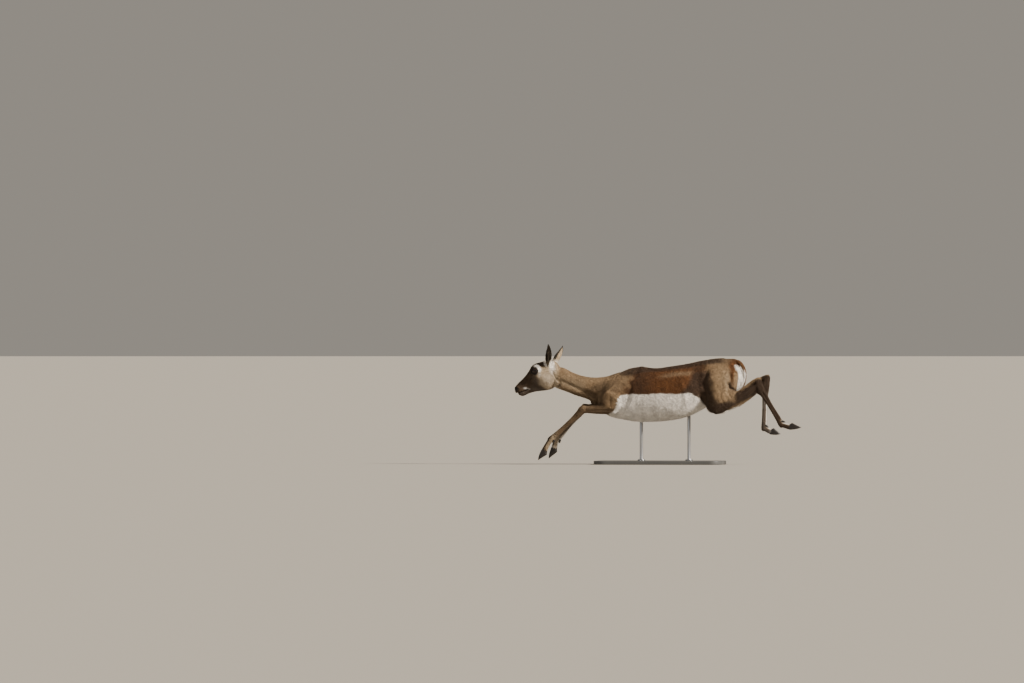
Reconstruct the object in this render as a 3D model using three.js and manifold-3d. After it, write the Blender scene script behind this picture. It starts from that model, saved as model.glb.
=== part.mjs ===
// A blackbuck doe at full stretch in a leap, life size, held over a flat base by two short rods.
// Millimetres, +Z up. The head points to -X and the left side to -Y.
// The origin is the middle of the underside of the base.
import * as THREE from "three";
import { mergeVertices } from "three/addons/utils/BufferGeometryUtils.js";
import Module from "manifold-3d";

const wasm = await Module();
wasm.setup();

// Driving dimensions
const SEAM = 0.3; // gap between two pieces that meet
const SAME = 1e-3; // corners nearer than this are one corner
const SPARE = 20; // how far from the middle a swelling of the side has its whole height
const BASE = { length: 620, width: 300, thickness: 18, corner: 60, edge: 3 };
const ROD = {
  radius: 8,
  foot: 18, // radius of the round foot it stands on
  eased: 2, // how much narrower the foot is at its top
  footHeight: 8,
  reach: 220, // long enough to end inside the belly
  sides: 16,
  xs: [-90, 140],
};
const EYE = { x: -600, y: 30, z: 449, radius: 16, forward: 0.3, upward: 0.1 };
const ORBIT = { inset: 7, long: 28, tall: 22, deep: 19.5 }; // the bone round the eye
const LIDS = { radius: 12.8, tube: 3.4, long: 1.16, tall: 0.84, depth: 9.6, slope: 24 };
const MOUTH = {
  line: [[-634, 361], [-650, 354.5], [-668, 347.5], [-684, 342.5], [-706, 341]],
  width: 2.2,
  depth: 3,
  span: 80, // more than the width of the muzzle
};
// Slits sunk in the face: the middle of each, its half sizes, and its turn in the side and top views
const NOSTRIL = { at: [-694, 9, 371], long: 7.5, deep: 5, tall: 2.6, pitch: 52, yaw: 28 };
const GLAND = { at: [-618, 30, 412], long: 10, deep: 4, tall: 1.5, pitch: -32, yaw: 16 };
// Along an ear, from root to tip: the width of its leaf laid flat, and how far it rolls up
const EAR = {
  widths: [44, 54, 54, 42, 23, 3],
  rolls: [310, 240, 178, 128, 90, 60],
  wall: 2.8,
  narrow: 0.25, // the most the wall takes of the leaf's own width
  thinned: 0.5, // how much of its thickness the wall has lost at the tip
  bow: 0.14, // how far the leaf bows, as a share of its length
  lengths: 9,
  across: 8,
};
const EARS = {
  left: { root: [-533, -25, 472], tip: [-535, -62, 579], open: [-0.5, -0.84, 0] },
  right: { root: [-520, 25, 470], tip: [-478, 58, 572], open: [-0.8, 0.55, 0] },
};
// The locks along the tail: their shares of its length, their sizes, and how far they spread
const FRINGE = {
  count: 11,
  first: 0.42,
  last: 0.98,
  shortest: 29,
  longest: 39,
  width: 9,
  thick: 3,
  spread: 0.5,
  gather: 0.6, // how much less the last locks spread
};
const LOCK = { steps: 4, sides: 6, sunk: 0.2, taper: 1.6 };
const DEWCLAW = { out: 8.5, behind: 17, length: 17, radius: 5, tip: 2, drift: 20 };

// Lengthwise sections. Each is an upright slice across the body: rise and drop are its heights above
// and below its middle, side its half width, top and bottom how square its halves are, and lean
// turns its top towards the tail, in degrees.
const SECTION = ["x", "z", "lean", "rise", "drop", "side", "top", "bottom"];

// The trunk, from inside the chest to the buttocks
const TRUNK = table(
  SECTION,
  [-318, 350, 6, 66, 66, 40, 2.0, 2.0],
  [-282, 346, 5, 72, 86, 54, 1.9, 2.1],
  [-232, 336, 3, 94, 108, 66, 1.75, 2.2],
  [-164, 336, 0, 120, 124, 74, 1.65, 2.3],
  [-106, 334, 0, 136, 130, 80, 1.7, 2.2],
  [-24, 330, 0, 133, 126, 91, 1.9, 2.1],
  [58, 332, 0, 139, 121, 97, 2.0, 2.1],
  [134, 340, 0, 143, 111, 94, 2.05, 2.1],
  [202, 358, 0, 139, 97, 85, 2.05, 2.0],
  [269, 380, 0, 127, 82, 78, 2.0, 2.0],
  [326, 404, 0, 106, 74, 69, 1.95, 2.0],
  [366, 416, -6, 92, 62, 52, 1.95, 2.0],
  [388, 420, -14, 67, 48, 36, 2.0, 2.0],
);

// The neck, from inside the skull to inside the chest
const NECK = table(
  SECTION,
  [-512, 424, 14, 52, 50, 34, 2.0, 2.0],
  [-475, 413, 14, 53, 54, 35, 2.0, 2.0],
  [-434, 395, 16, 50, 51, 33, 2.0, 2.0],
  [-390, 379, 18, 51, 52, 34, 2.0, 2.0],
  [-337, 367, 20, 56, 57, 41, 1.95, 2.0],
  [-283, 357, 20, 72, 70, 52, 1.9, 2.0],
  [-228, 354, 19, 96, 90, 62, 1.8, 2.0],
);

// The head, from the muzzle to the back of the skull
const HEAD = table(
  SECTION,
  [-694, 361, -14, 15, 21, 14, 2.3, 2.3],
  [-685, 361, -18, 24, 31, 19, 2.3, 2.4],
  [-671, 363, -24, 33, 37, 20.5, 2.1, 2.3],
  [-652, 373, -31, 38, 39, 21, 2.0, 2.2],
  [-629, 386, -34, 45, 46, 25, 2.2, 2.1],
  [-604, 399, -33, 58, 56, 33, 2.8, 2.0],
  [-578, 416, -30, 73, 69, 39, 2.8, 1.9],
  [-551, 429, -26, 71, 72, 41, 2.5, 1.9],
  [-523, 441, -24, 64, 61, 38, 2.3, 2.0],
  [-502, 452, -22, 48, 42, 30, 2.1, 2.0],
);

// The tail lies down the rump, from its root to its tip.
const TAIL = table(
  SECTION,
  [352, 500, 8, 10, 14, 12, 2, 2],
  [382, 490, 34, 9, 10, 13, 2, 2],
  [403, 463, 66, 8, 8, 15, 2, 2],
  [410, 428, 88, 7, 7, 16, 2, 2],
  [407, 396, 98, 6, 6, 13, 2, 2],
  [399, 370, 108, 4, 4, 7, 2, 2],
);

// The masses at the top of a leg. Their sections lie level, with rise to the back and drop to the
// front, and y is out from the middle.
const LIMB_SECTION = ["x", "y", "z", "lean", "rise", "drop", "side", "top", "bottom"];
const SHOULDER = table(
  LIMB_SECTION,
  [-128, 20, 442, 118, 34, 34, 11, 2, 2],
  [-166, 35, 408, 116, 50, 46, 18, 2, 2],
  [-202, 46, 372, 108, 64, 56, 25, 2, 2],
  [-222, 50, 336, 98, 72, 62, 28, 2, 2],
  [-224, 53, 301, 91, 62, 52, 28, 2, 2],
  [-222, 54, 272, 88, 44, 34, 23, 2, 2],
  [-222, 54, 254, 88, 26, 22, 14, 2, 2],
);
const THIGH = table(
  LIMB_SECTION,
  [312, 34, 463, 92, 54, 50, 18, 2, 2],
  [305, 44, 430, 91, 76, 76, 28, 2, 2],
  [298, 50, 389, 90, 82, 84, 35, 2, 2],
  [294, 52, 348, 92, 80, 83, 37, 2, 2],
  [289, 52, 305, 92, 72, 75, 34, 2, 2],
  [283, 52, 271, 92, 54, 60, 27, 2, 2],
  [280, 52, 254, 92, 38, 44, 18, 2, 2],
);

// Muscles and bones that swell the sides: where, how far they reach, their turn and their height.
const TRUNK_SWELLINGS = [
  { x: -60, z: 320, long: 120, tall: 80, turn: -10, push: 3 },
  { x: 300, z: 450, long: 60, tall: 34, turn: -20, push: 5 },
];
const HEAD_SWELLINGS = [
  { x: -601, z: 446, long: 34, tall: 24, turn: 40, push: 5 },
  { x: -548, z: 412, long: 36, tall: 28, turn: 30, push: 5 },
  { x: -664, z: 338, long: 15, tall: 9, turn: 10, push: 2.5 },
  { x: -672, z: 360, long: 20, tall: 9, turn: 30, push: 2 },
  { x: -636, z: 398, long: 30, tall: 14, turn: 42, push: -2 },
];

// Below its mass a leg is a chain of joints, [x, out from the middle, z], with girths along it. A
// girth's place counts the joints: 1.5 is half way from the second joint to the third.
const GIRTH = ["along", "front", "back", "side", "power"];
const FORE_GIRTHS = table(
  GIRTH,
  [0, 24, 26, 17, 2],
  [0.25, 25, 26, 19, 2],
  [0.55, 22, 24, 17, 2.1],
  [0.85, 19, 20, 15, 2.3],
  [1, 19, 19, 16, 2.4],
  [1.14, 16, 17, 14, 2.3],
  [1.3, 12, 13.5, 11, 2.3],
  [1.6, 10.5, 12, 10, 2.3],
  [1.86, 13, 15, 12, 2.2],
  [2, 16, 17, 14, 2.1],
  [2.25, 14, 13, 13, 2.2],
  [2.5, 10, 9, 9, 2.2],
);
const HIND_GIRTHS = table(
  GIRTH,
  [0, 24, 30, 22, 2],
  [0.3, 36, 32, 25, 2],
  [0.55, 35, 26, 21, 2],
  [0.8, 27, 33, 16, 2.1],
  [0.93, 28, 43, 15, 2.2],
  [1, 28, 43, 15, 2.2],
  [1.1, 25, 29, 14.5, 2.3],
  [1.25, 15, 19, 12.5, 2.3],
  [1.5, 12, 14, 10.5, 2.3],
  [1.82, 13, 15, 11.5, 2.3],
  [2, 16, 17, 14, 2.1],
  [2.25, 14, 13, 13, 2.2],
  [2.5, 10, 9, 9, 2.2],
);
const LEGS = [
  {
    name: "foreleg_left",
    hand: -1,
    joints: [[-214, 54, 267], [-367, 48, 264], [-522, 46, 121], [-556, 46, 64]],
    toe: [-582, 46, 23],
  },
  {
    name: "foreleg_right",
    hand: 1,
    joints: [[-224, 54, 273], [-369, 48, 272], [-505, 46, 119], [-519, 46, 75]],
    toe: [-542, 46, 30],
  },
  {
    name: "hindleg_left",
    hand: -1,
    joints: [[270, 54, 262], [477, 60, 380], [591, 58, 193], [634, 58, 180]],
    toe: [684, 58, 179],
  },
  {
    name: "hindleg_right",
    hand: 1,
    joints: [[282, 54, 265], [500, 60, 395], [496, 58, 175], [531, 58, 156]],
    toe: [574, 58, 147],
  },
];

// Below the fetlock the leg divides into two toes, each set aside from the middle.
const TOE = table(
  [...GIRTH, "aside"],
  [2, 12, 13, 7, 2.1, 5.5],
  [2.5, 13, 12, 7.2, 2.1, 7],
  [3, 12.5, 16.5, 7.5, 2.3, 7.9],
  [3.12, 12, 17, 7.5, 2.4, 8],
);
const HOOF = table(
  [...GIRTH, "aside"],
  [2.85, 12, 15, 7.2, 2.3, 7.8],
  [3.04, 12.5, 18, 7.6, 2.6, 8],
  [3.16, 12, 20.5, 7.8, 2.8, 8.1],
  [3.45, 10, 14, 7.2, 2.8, 8],
  [3.75, 6.5, 7, 5.4, 2.6, 7.5],
  [3.93, 3, 3, 3, 2.2, 6.9],
  [4, 1.2, 1.3, 1.4, 2, 6.6],
);

// Where the neck is parted from the trunk and from the head
const NECK_BASE = {
  point: new THREE.Vector3(-292, 0, 355),
  normal: new THREE.Vector3(1, 0, -0.36),
};
const THROAT = {
  point: new THREE.Vector3(-487, 0, 425),
  normal: new THREE.Vector3(1, 0, -0.25),
};

// Colours
const COAT = { color: 0x9a6b3c, roughness: 0.85, metalness: 0 };
const FACE = { color: 0x8f7250, roughness: 0.85, metalness: 0 };
const HORN = { color: 0x1c1815, roughness: 0.4, metalness: 0 };
const WET = { color: 0x120c08, roughness: 0.08, metalness: 0 };
const PAINT = { color: 0x3b3c3e, roughness: 0.5, metalness: 0 };
const STEEL = { color: 0xb9bbbd, roughness: 0.35, metalness: 1 };

// Rows of numbers under named columns become objects.
function table(columns, ...rows) {
  return rows.map((row) => Object.fromEntries(columns.map((c, i) => [c, row[i]])));
}

// A smooth curve through numbers, at place t counted in rows.
function smooth(values, t) {
  const last = values.length - 1;
  const i = Math.min(Math.floor(t), last - 1);
  const f = t - i;
  const b = values[i];
  const c = values[i + 1];
  const a = i > 0 ? values[i - 1] : 2 * b - c;
  const d = i + 2 <= last ? values[i + 2] : 2 * c - b;
  return (
    b +
    0.5 * f * (c - a + f * (2 * a - 5 * b + 4 * c - d + f * (3 * (b - c) + d - a)))
  );
}

// The section at place t of a list of sections, every size on a smooth curve through the list.
function sectionAt(sections, t) {
  const keys = Object.keys(sections[0]);
  return Object.fromEntries(keys.map((k) => [k, smooth(sections.map((s) => s[k]), t)]));
}

// A point of a section, at an angle from its +Y side. The outline is a superellipse.
function rim(section, angle, share = 1, ahead = 0, grow = 0) {
  const { x, y = 0, z, lean, rise, drop, side, top, bottom } = section;
  const c = Math.cos(angle);
  const s = Math.sin(angle);
  const power = 2 / (s > 0 ? top : bottom);
  const out = Math.sign(c) * Math.abs(c) ** power * (side + grow) * share;
  const up = Math.sign(s) * Math.abs(s) ** power * ((s > 0 ? rise : drop) + grow) * share;
  const tilt = THREE.MathUtils.degToRad(lean);
  return new THREE.Vector3(
    x + up * Math.sin(tilt) + ahead * Math.cos(tilt),
    y + out,
    z + up * Math.cos(tilt) - ahead * Math.sin(tilt),
  );
}

// A closed surface through sections, with a dome of its own length over each end.
function loft(sections, options = {}) {
  const { sides, steps, domes, domeRings = 2, grow = 0, reshape = (p) => p } = options;
  const spans = (sections.length - 1) * steps;
  const rings = [];
  const addRing = (section, share, ahead) => {
    const ring = [];
    for (let k = 0; k < sides; k++) {
      ring.push(reshape(rim(section, (2 * Math.PI * k) / sides, share, ahead, grow), section));
    }
    rings.push(ring);
  };
  const first = sections[0];
  const last = sections[sections.length - 1];
  for (let k = domeRings - 1; k > 0; k--) {
    const turn = (k / domeRings) * (Math.PI / 2);
    addRing(first, Math.cos(turn), -domes[0] * Math.sin(turn));
  }
  for (let k = 0; k <= spans; k++) addRing(sectionAt(sections, k / steps), 1, 0);
  for (let k = 1; k < domeRings; k++) {
    const turn = (k / domeRings) * (Math.PI / 2);
    addRing(last, Math.cos(turn), domes[1] * Math.sin(turn));
  }
  const start = rim(first, 0, 0, -domes[0] - grow);
  const end = rim(last, 0, 0, domes[1] + grow);
  return closeRings(rings, start, end);
}

// Rings of points, joined by quads and closed by a fan to a point at each end.
function closeRings(rings, start, end) {
  const sides = rings[0].length;
  const points = [...rings.flat(), start, end];
  const first = points.length - 2;
  const last = points.length - 1;
  const faces = [];
  for (let r = 0; r + 1 < rings.length; r++) {
    for (let k = 0; k < sides; k++) {
      const a = r * sides + k;
      const b = r * sides + ((k + 1) % sides);
      faces.push(a, a + sides, b, b, a + sides, b + sides);
    }
  }
  const foot = (rings.length - 1) * sides;
  for (let k = 0; k < sides; k++) {
    faces.push(first, k, (k + 1) % sides);
    faces.push(last, foot + ((k + 1) % sides), foot + k);
  }
  return solid(points, faces);
}

// Points and triangles as a manifold solid, turned so that its faces point out.
function solid(points, faces) {
  const make = (triVerts) =>
    new wasm.Manifold(
      new wasm.Mesh({
        numProp: 3,
        vertProperties: new Float32Array(points.flatMap((p) => [p.x, p.y, p.z])),
        triVerts: new Uint32Array(triVerts),
      }),
    );
  const made = make(faces);
  if (made.volume() > 0) return made;
  return make(faces.flatMap((_, i) => (i % 3 ? [] : [faces[i], faces[i + 2], faces[i + 1]])));
}

// A three.js geometry as a manifold solid.
function solidOf(geometry) {
  const bare = geometry.index ? geometry.clone() : geometry;
  bare.deleteAttribute("normal");
  bare.deleteAttribute("uv");
  const merged = mergeVertices(bare, SAME);
  const position = merged.attributes.position;
  const points = [];
  for (let i = 0; i < position.count; i++) {
    points.push(new THREE.Vector3().fromBufferAttribute(position, i));
  }
  return solid(points, [...merged.index.array]);
}

// The side of a plane that its normal points to. The plane goes through a point.
function keepBeyond(body, point, normal, gap = SEAM / 2) {
  const n = normal.clone().normalize();
  return body.trimByPlane([n.x, n.y, n.z], n.dot(point) + gap);
}

// Only the largest closed piece of a solid, which drops loose scraps.
function largest(body) {
  return body.decompose().reduce((a, b) => (b.volume() > a.volume() ? b : a));
}

// Pushes a point of the skin sideways by each swelling in a list.
function swell(list) {
  return (p) => {
    let push = 0;
    for (const s of list) {
      const turn = THREE.MathUtils.degToRad(s.turn);
      const dx = p.x - s.x;
      const dz = p.z - s.z;
      const along = (dx * Math.cos(turn) + dz * Math.sin(turn)) / s.long;
      const across = (dz * Math.cos(turn) - dx * Math.sin(turn)) / s.tall;
      push += s.push * Math.exp(-along * along - across * across);
    }
    p.y += Math.sign(p.y) * push * Math.min(1, Math.abs(p.y) / SPARE);
    return p;
  };
}

// The direction of travel from one joint to the next, in the side view.
function heading(a, b) {
  return Math.atan2(b[2] - a[2], b[0] - a[0]);
}

// The whole chain of a leg, hoof included.
function chain(leg) {
  return [...leg.joints, leg.toe];
}

// One section across a leg at a place along its chain. It squares up to its bone, and turns
// gradually near a joint. Rise is to the back of the leg and drop to the front.
function legSection(leg, { along, front, back, side, power }, aside = 0) {
  const REACH = 0.22; // share of a bone over which a section turns
  const points = chain(leg);
  const bones = points.length - 1;
  const i = Math.min(Math.floor(along), bones - 1);
  const f = along - i;
  const [a, b] = [points[i], points[i + 1]];
  const own = heading(a, b);
  let angle = own;
  const blend = (other, distance) => {
    const turn = Math.atan2(Math.sin(other - own), Math.cos(other - own));
    angle += 0.5 * turn * Math.max(0, 1 - distance / REACH);
  };
  if (i > 0) blend(heading(points[i - 1], a), f);
  if (i + 1 < bones) blend(heading(b, points[i + 2]), 1 - f);
  return {
    x: a[0] + (b[0] - a[0]) * f,
    y: leg.hand * (a[1] + (b[1] - a[1]) * f + aside),
    z: a[2] + (b[2] - a[2]) * f,
    lean: -THREE.MathUtils.radToDeg(angle),
    rise: back,
    drop: front,
    side,
    top: power,
    bottom: power,
  };
}

// Keeps each section's lean within half a turn of the one before.
function unwind(sections) {
  for (let i = 1; i < sections.length; i++) {
    const jump = sections[i].lean - sections[i - 1].lean;
    sections[i].lean -= 360 * Math.round(jump / 360);
  }
  return sections;
}

const isFore = (leg) => leg.name.startsWith("foreleg");

// The mass at the top of a leg: shoulder and upper arm, or haunch.
function massBody(leg, grow = 0) {
  const rows = isFore(leg) ? SHOULDER : THIGH;
  const sections = rows.map((row) => ({ ...row, y: row.y * leg.hand }));
  return loft(sections, { sides: 16, steps: 2, domes: isFore(leg) ? [14, 6] : [16, 8], grow });
}

// The leg below its mass, as far as the pastern, and the two toes that it divides into.
function limbBody(leg, grow = 0) {
  const girths = isFore(leg) ? FORE_GIRTHS : HIND_GIRTHS;
  const sections = unwind(girths.map((row) => legSection(leg, row)));
  let body = loft(sections, { sides: 12, steps: 1, domes: [14, 6], grow });
  for (const aside of [-1, 1]) {
    const toe = unwind(TOE.map((row) => legSection(leg, row, aside * row.aside)));
    body = body.add(loft(toe, { sides: 8, steps: 1, domes: [3, 1], grow }));
  }
  return body;
}

// One hoof, from inside the pastern to its point.
function hoofBody(leg, aside) {
  const sections = unwind(HOOF.map((row) => legSection(leg, row, aside * row.aside)));
  return loft(sections, { sides: 10, steps: 1, domes: [1, 2] });
}

// One dewclaw, a small blunt cone behind the fetlock.
function dewclawBody(leg, aside) {
  const { out, behind, length, radius, tip, drift } = DEWCLAW;
  const root = legSection(leg, { along: 2, front: 1, back: 1, side: 1, power: 2 }, aside * out);
  const backward = THREE.MathUtils.degToRad(root.lean);
  const middle = new THREE.Vector3(
    root.x + behind * Math.sin(backward),
    root.y,
    root.z + behind * Math.cos(backward),
  );
  const cone = new THREE.CylinderGeometry(tip, radius, length, 6);
  // The cone's own +Y turns to point down the pastern and a little to the back.
  cone.rotateZ(-Math.PI / 2);
  cone.rotateY(backward - THREE.MathUtils.degToRad(drift));
  cone.translate(middle.x, middle.y, middle.z);
  return solidOf(cone);
}

// The plane across a joint, facing down the leg.
function jointPlane(leg, i) {
  const points = chain(leg);
  const above = heading(points[i - 1], points[i]);
  const below = heading(points[i], points[i + 1]);
  const [x, y, z] = points[i];
  return {
    point: new THREE.Vector3(x, leg.hand * y, z),
    normal: new THREE.Vector3(
      Math.cos(above) + Math.cos(below),
      0,
      Math.sin(above) + Math.sin(below),
    ),
  };
}

// The eye's middle and the way it looks, with the direction along its lids.
function eyeFrame(hand) {
  const middle = new THREE.Vector3(EYE.x, hand * EYE.y, EYE.z);
  const gaze = new THREE.Vector3(-EYE.forward, hand, EYE.upward).normalize();
  const slope = THREE.MathUtils.degToRad(LIDS.slope);
  const along = new THREE.Vector3(-Math.cos(slope), 0, -Math.sin(slope));
  along.addScaledVector(gaze, -along.dot(gaze)).normalize();
  const across = new THREE.Vector3().crossVectors(gaze, along);
  return { middle, gaze, along, across };
}

function eyeball(hand, grow = 0) {
  const { middle } = eyeFrame(hand);
  const ball = new THREE.SphereGeometry(EYE.radius + grow, 16, 10);
  return solidOf(ball.translate(middle.x, middle.y, middle.z));
}

// The lids, a ring of soft tube round the opening of the eye.
function lids(hand) {
  const { middle, gaze, along, across } = eyeFrame(hand);
  const ring = new THREE.TorusGeometry(LIDS.radius, LIDS.tube, 6, 18);
  ring.scale(LIDS.long, LIDS.tall, 1);
  ring.applyMatrix4(new THREE.Matrix4().makeBasis(along, across, gaze));
  const at = middle.clone().addScaledVector(gaze, LIDS.depth);
  return solidOf(ring.translate(at.x, at.y, at.z));
}

// The bone and brow that the eye is set in.
function orbit(hand) {
  const { middle, gaze, along, across } = eyeFrame(hand);
  const mound = new THREE.SphereGeometry(1, 12, 8);
  mound.scale(ORBIT.long, ORBIT.tall, ORBIT.deep);
  mound.applyMatrix4(new THREE.Matrix4().makeBasis(along, across, gaze));
  const at = middle.clone().addScaledVector(gaze, -ORBIT.inset);
  return solidOf(mound.translate(at.x, at.y, at.z));
}

// A slit in the face, an ellipsoid that is cut out of it.
function slit({ at, long, deep, tall, pitch, yaw }, hand) {
  const hollow = new THREE.SphereGeometry(1, 8, 5);
  hollow.scale(long, deep, tall);
  hollow.rotateY(THREE.MathUtils.degToRad(pitch));
  hollow.rotateZ(THREE.MathUtils.degToRad(hand * yaw));
  return solidOf(hollow.translate(at[0], hand * at[1], at[2]));
}

// The line of the mouth, a groove of even depth from one corner round the front to the other.
function mouthGroove() {
  const half = MOUTH.width / 2;
  const outline = new THREE.Shape([
    ...MOUTH.line.map(([x, z]) => new THREE.Vector2(x, z + half)),
    ...MOUTH.line.map(([x, z]) => new THREE.Vector2(x, z - half)).reverse(),
  ]);
  const sheet = new THREE.ExtrudeGeometry(outline, { depth: MOUTH.span, bevelEnabled: false });
  sheet.translate(0, 0, -MOUTH.span / 2).rotateX(Math.PI / 2);
  return solidOf(sheet).subtract(skullBody(-MOUTH.depth));
}

// An ear: a leaf rolled about its length, from an almost closed tube at the root to an open, pointed
// tip, with a wall of even thickness.
function earBody(ear) {
  const { widths, rolls, lengths, across: leaves } = EAR;
  const root = new THREE.Vector3(...ear.root);
  const up = new THREE.Vector3(...ear.tip).sub(root);
  const length = up.length();
  up.normalize();
  const open = new THREE.Vector3(...ear.open);
  open.addScaledVector(up, -open.dot(up)).normalize();
  const across = new THREE.Vector3().crossVectors(up, open);
  const point = (i, j, inner) => {
    const u = i / lengths;
    const v = (2 * j) / leaves - 1;
    const t = u * (widths.length - 1);
    const arc = smooth(widths, t);
    const roll = THREE.MathUtils.degToRad(smooth(rolls, t));
    const radius = arc / roll;
    const wall = Math.min(EAR.wall, EAR.narrow * arc) * (1 - EAR.thinned * u);
    const r = radius - (inner ? wall : 0);
    const turn = (v * roll) / 2;
    return root
      .clone()
      .addScaledVector(up, length * u)
      .addScaledVector(across, r * Math.sin(turn))
      .addScaledVector(open, radius * 0.5 - r * Math.cos(turn) + EAR.bow * length * u * (u - 1));
  };
  const points = [];
  const at = (i, j, inner) => (i * (leaves + 1) + j) * 2 + (inner ? 1 : 0);
  for (let i = 0; i <= lengths; i++) {
    for (let j = 0; j <= leaves; j++) points.push(point(i, j, false), point(i, j, true));
  }
  const faces = [];
  const quad = (a, b, c, d) => faces.push(a, b, c, a, c, d);
  for (let i = 0; i < lengths; i++) {
    for (let j = 0; j < leaves; j++) {
      quad(at(i, j), at(i + 1, j), at(i + 1, j + 1), at(i, j + 1));
      quad(at(i, j, 1), at(i, j + 1, 1), at(i + 1, j + 1, 1), at(i + 1, j, 1));
    }
    quad(at(i, 0), at(i, 0, 1), at(i + 1, 0, 1), at(i + 1, 0));
    quad(at(i, leaves), at(i + 1, leaves), at(i + 1, leaves, 1), at(i, leaves, 1));
  }
  for (let j = 0; j < leaves; j++) {
    quad(at(0, j), at(0, j + 1), at(0, j + 1, 1), at(0, j, 1));
    quad(at(lengths, j), at(lengths, j, 1), at(lengths, j + 1, 1), at(lengths, j + 1));
  }
  return solid(points, faces);
}

// The tail, with a fringe of flat locks along both edges and at its tip.
function tailBody() {
  let body = loft(TAIL, { sides: 12, steps: 1, domes: [6, 3] });
  const { count, first, last, shortest, longest, width, thick, spread, gather } = FRINGE;
  for (let k = 0; k < count; k++) {
    const share = k / (count - 1);
    const hand = k % 2 ? 1 : -1;
    const t = THREE.MathUtils.lerp(first, last, share) * (TAIL.length - 1);
    const s = sectionAt(TAIL, t);
    const root = rim(s, hand > 0 ? 0 : Math.PI, 0.5);
    const tilt = THREE.MathUtils.degToRad(s.lean);
    const along = new THREE.Vector3(Math.cos(tilt), 0, -Math.sin(tilt));
    const aside = new THREE.Vector3(0, hand * spread * (1 - gather * share), 0);
    const way = along.clone().add(aside).normalize();
    const length = THREE.MathUtils.lerp(shortest, longest, share);
    body = body.add(lock(root, way, along, length, width, thick));
  }
  return body;
}

// A flat, tapered lock that starts along one direction and bends to another.
function lock(root, way, rest, length, width, thick) {
  const { steps, sides, sunk, taper } = LOCK;
  const across = new THREE.Vector3();
  const rings = [];
  const at = root.clone().addScaledVector(way, -sunk * length);
  const step = ((1 + sunk) * length) / steps;
  const normal = new THREE.Vector3();
  for (let i = 0; i < steps; i++) {
    const heading = way.clone().lerp(rest, i / steps).normalize();
    normal.set(-heading.z, 0, heading.x).normalize();
    across.crossVectors(heading, normal).normalize();
    normal.crossVectors(across, heading);
    const share = 1 - (i / steps) ** taper;
    const ring = [];
    for (let k = 0; k < sides; k++) {
      const angle = (2 * Math.PI * k) / sides;
      ring.push(
        at
          .clone()
          .addScaledVector(across, Math.cos(angle) * 0.5 * width * share)
          .addScaledVector(normal, Math.sin(angle) * 0.5 * thick * share),
      );
    }
    rings.push(ring);
    at.addScaledVector(heading, step);
  }
  const middle = rings[0].reduce((a, b) => a.clone().add(b)).divideScalar(sides);
  return closeRings(rings, middle, at);
}

// The base, a flat plate with round corners and an eased edge.
function baseBody() {
  const { length, width, thickness, corner, edge } = BASE;
  const [x, y, r] = [length / 2 - edge, width / 2 - edge, corner - edge];
  const outline = new THREE.Shape()
    .moveTo(-x + r, -y)
    .lineTo(x - r, -y)
    .absarc(x - r, -y + r, r, -Math.PI / 2, 0)
    .lineTo(x, y - r)
    .absarc(x - r, y - r, r, 0, Math.PI / 2)
    .lineTo(-x + r, y)
    .absarc(-x + r, y - r, r, Math.PI / 2, Math.PI)
    .lineTo(-x, -y + r)
    .absarc(-x + r, -y + r, r, Math.PI, 1.5 * Math.PI);
  const plate = new THREE.ExtrudeGeometry(outline, {
    depth: thickness - 2 * edge,
    bevelThickness: edge,
    bevelSize: edge,
    bevelSegments: 1,
    curveSegments: 6,
  });
  return solidOf(plate.translate(0, 0, edge));
}

// A rod from the base up into the belly, which is then cut away from its top.
function rodBody(x, belly) {
  const { radius, sides, foot, eased, footHeight, reach } = ROD;
  const floor = BASE.thickness + SEAM;
  const shaft = new THREE.CylinderGeometry(radius, radius, reach, sides);
  const flange = new THREE.CylinderGeometry(foot - eased, foot, footHeight, sides);
  shaft.rotateX(Math.PI / 2).translate(x, 0, floor + reach / 2);
  flange.rotateX(Math.PI / 2).translate(x, 0, floor + footHeight / 2);
  return largest(solidOf(shaft).add(solidOf(flange)).subtract(belly.translate([0, 0, -SEAM])));
}

const nodes = new Map();

function addNode(name, body, look) {
  nodes.set(name, { body: largest(body), look });
}

const away = (normal) => normal.clone().negate();

function trunkBody(grow = 0) {
  return loft(TRUNK, {
    sides: 24,
    steps: 2,
    domes: [20, 12],
    reshape: swell(TRUNK_SWELLINGS),
    grow,
  });
}

function skullBody(grow = 0) {
  return loft(HEAD, {
    sides: 24,
    steps: 3,
    domes: [9, 22],
    domeRings: 3,
    reshape: swell(HEAD_SWELLINGS),
    grow,
  });
}

// The trunk, neck and head are fused, then parted by planes, so that their faces meet.
const neckLoft = loft(NECK, { sides: 18, steps: 2, domes: [10, 20] });
const spine = trunkBody().add(neckLoft).add(skullBody());
const neckUp = keepBeyond(spine, NECK_BASE.point, away(NECK_BASE.normal));
let torso = keepBeyond(spine, NECK_BASE.point, NECK_BASE.normal);
let neck = keepBeyond(neckUp, THROAT.point, THROAT.normal);
let head = keepBeyond(neckUp, THROAT.point, away(THROAT.normal));

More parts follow.
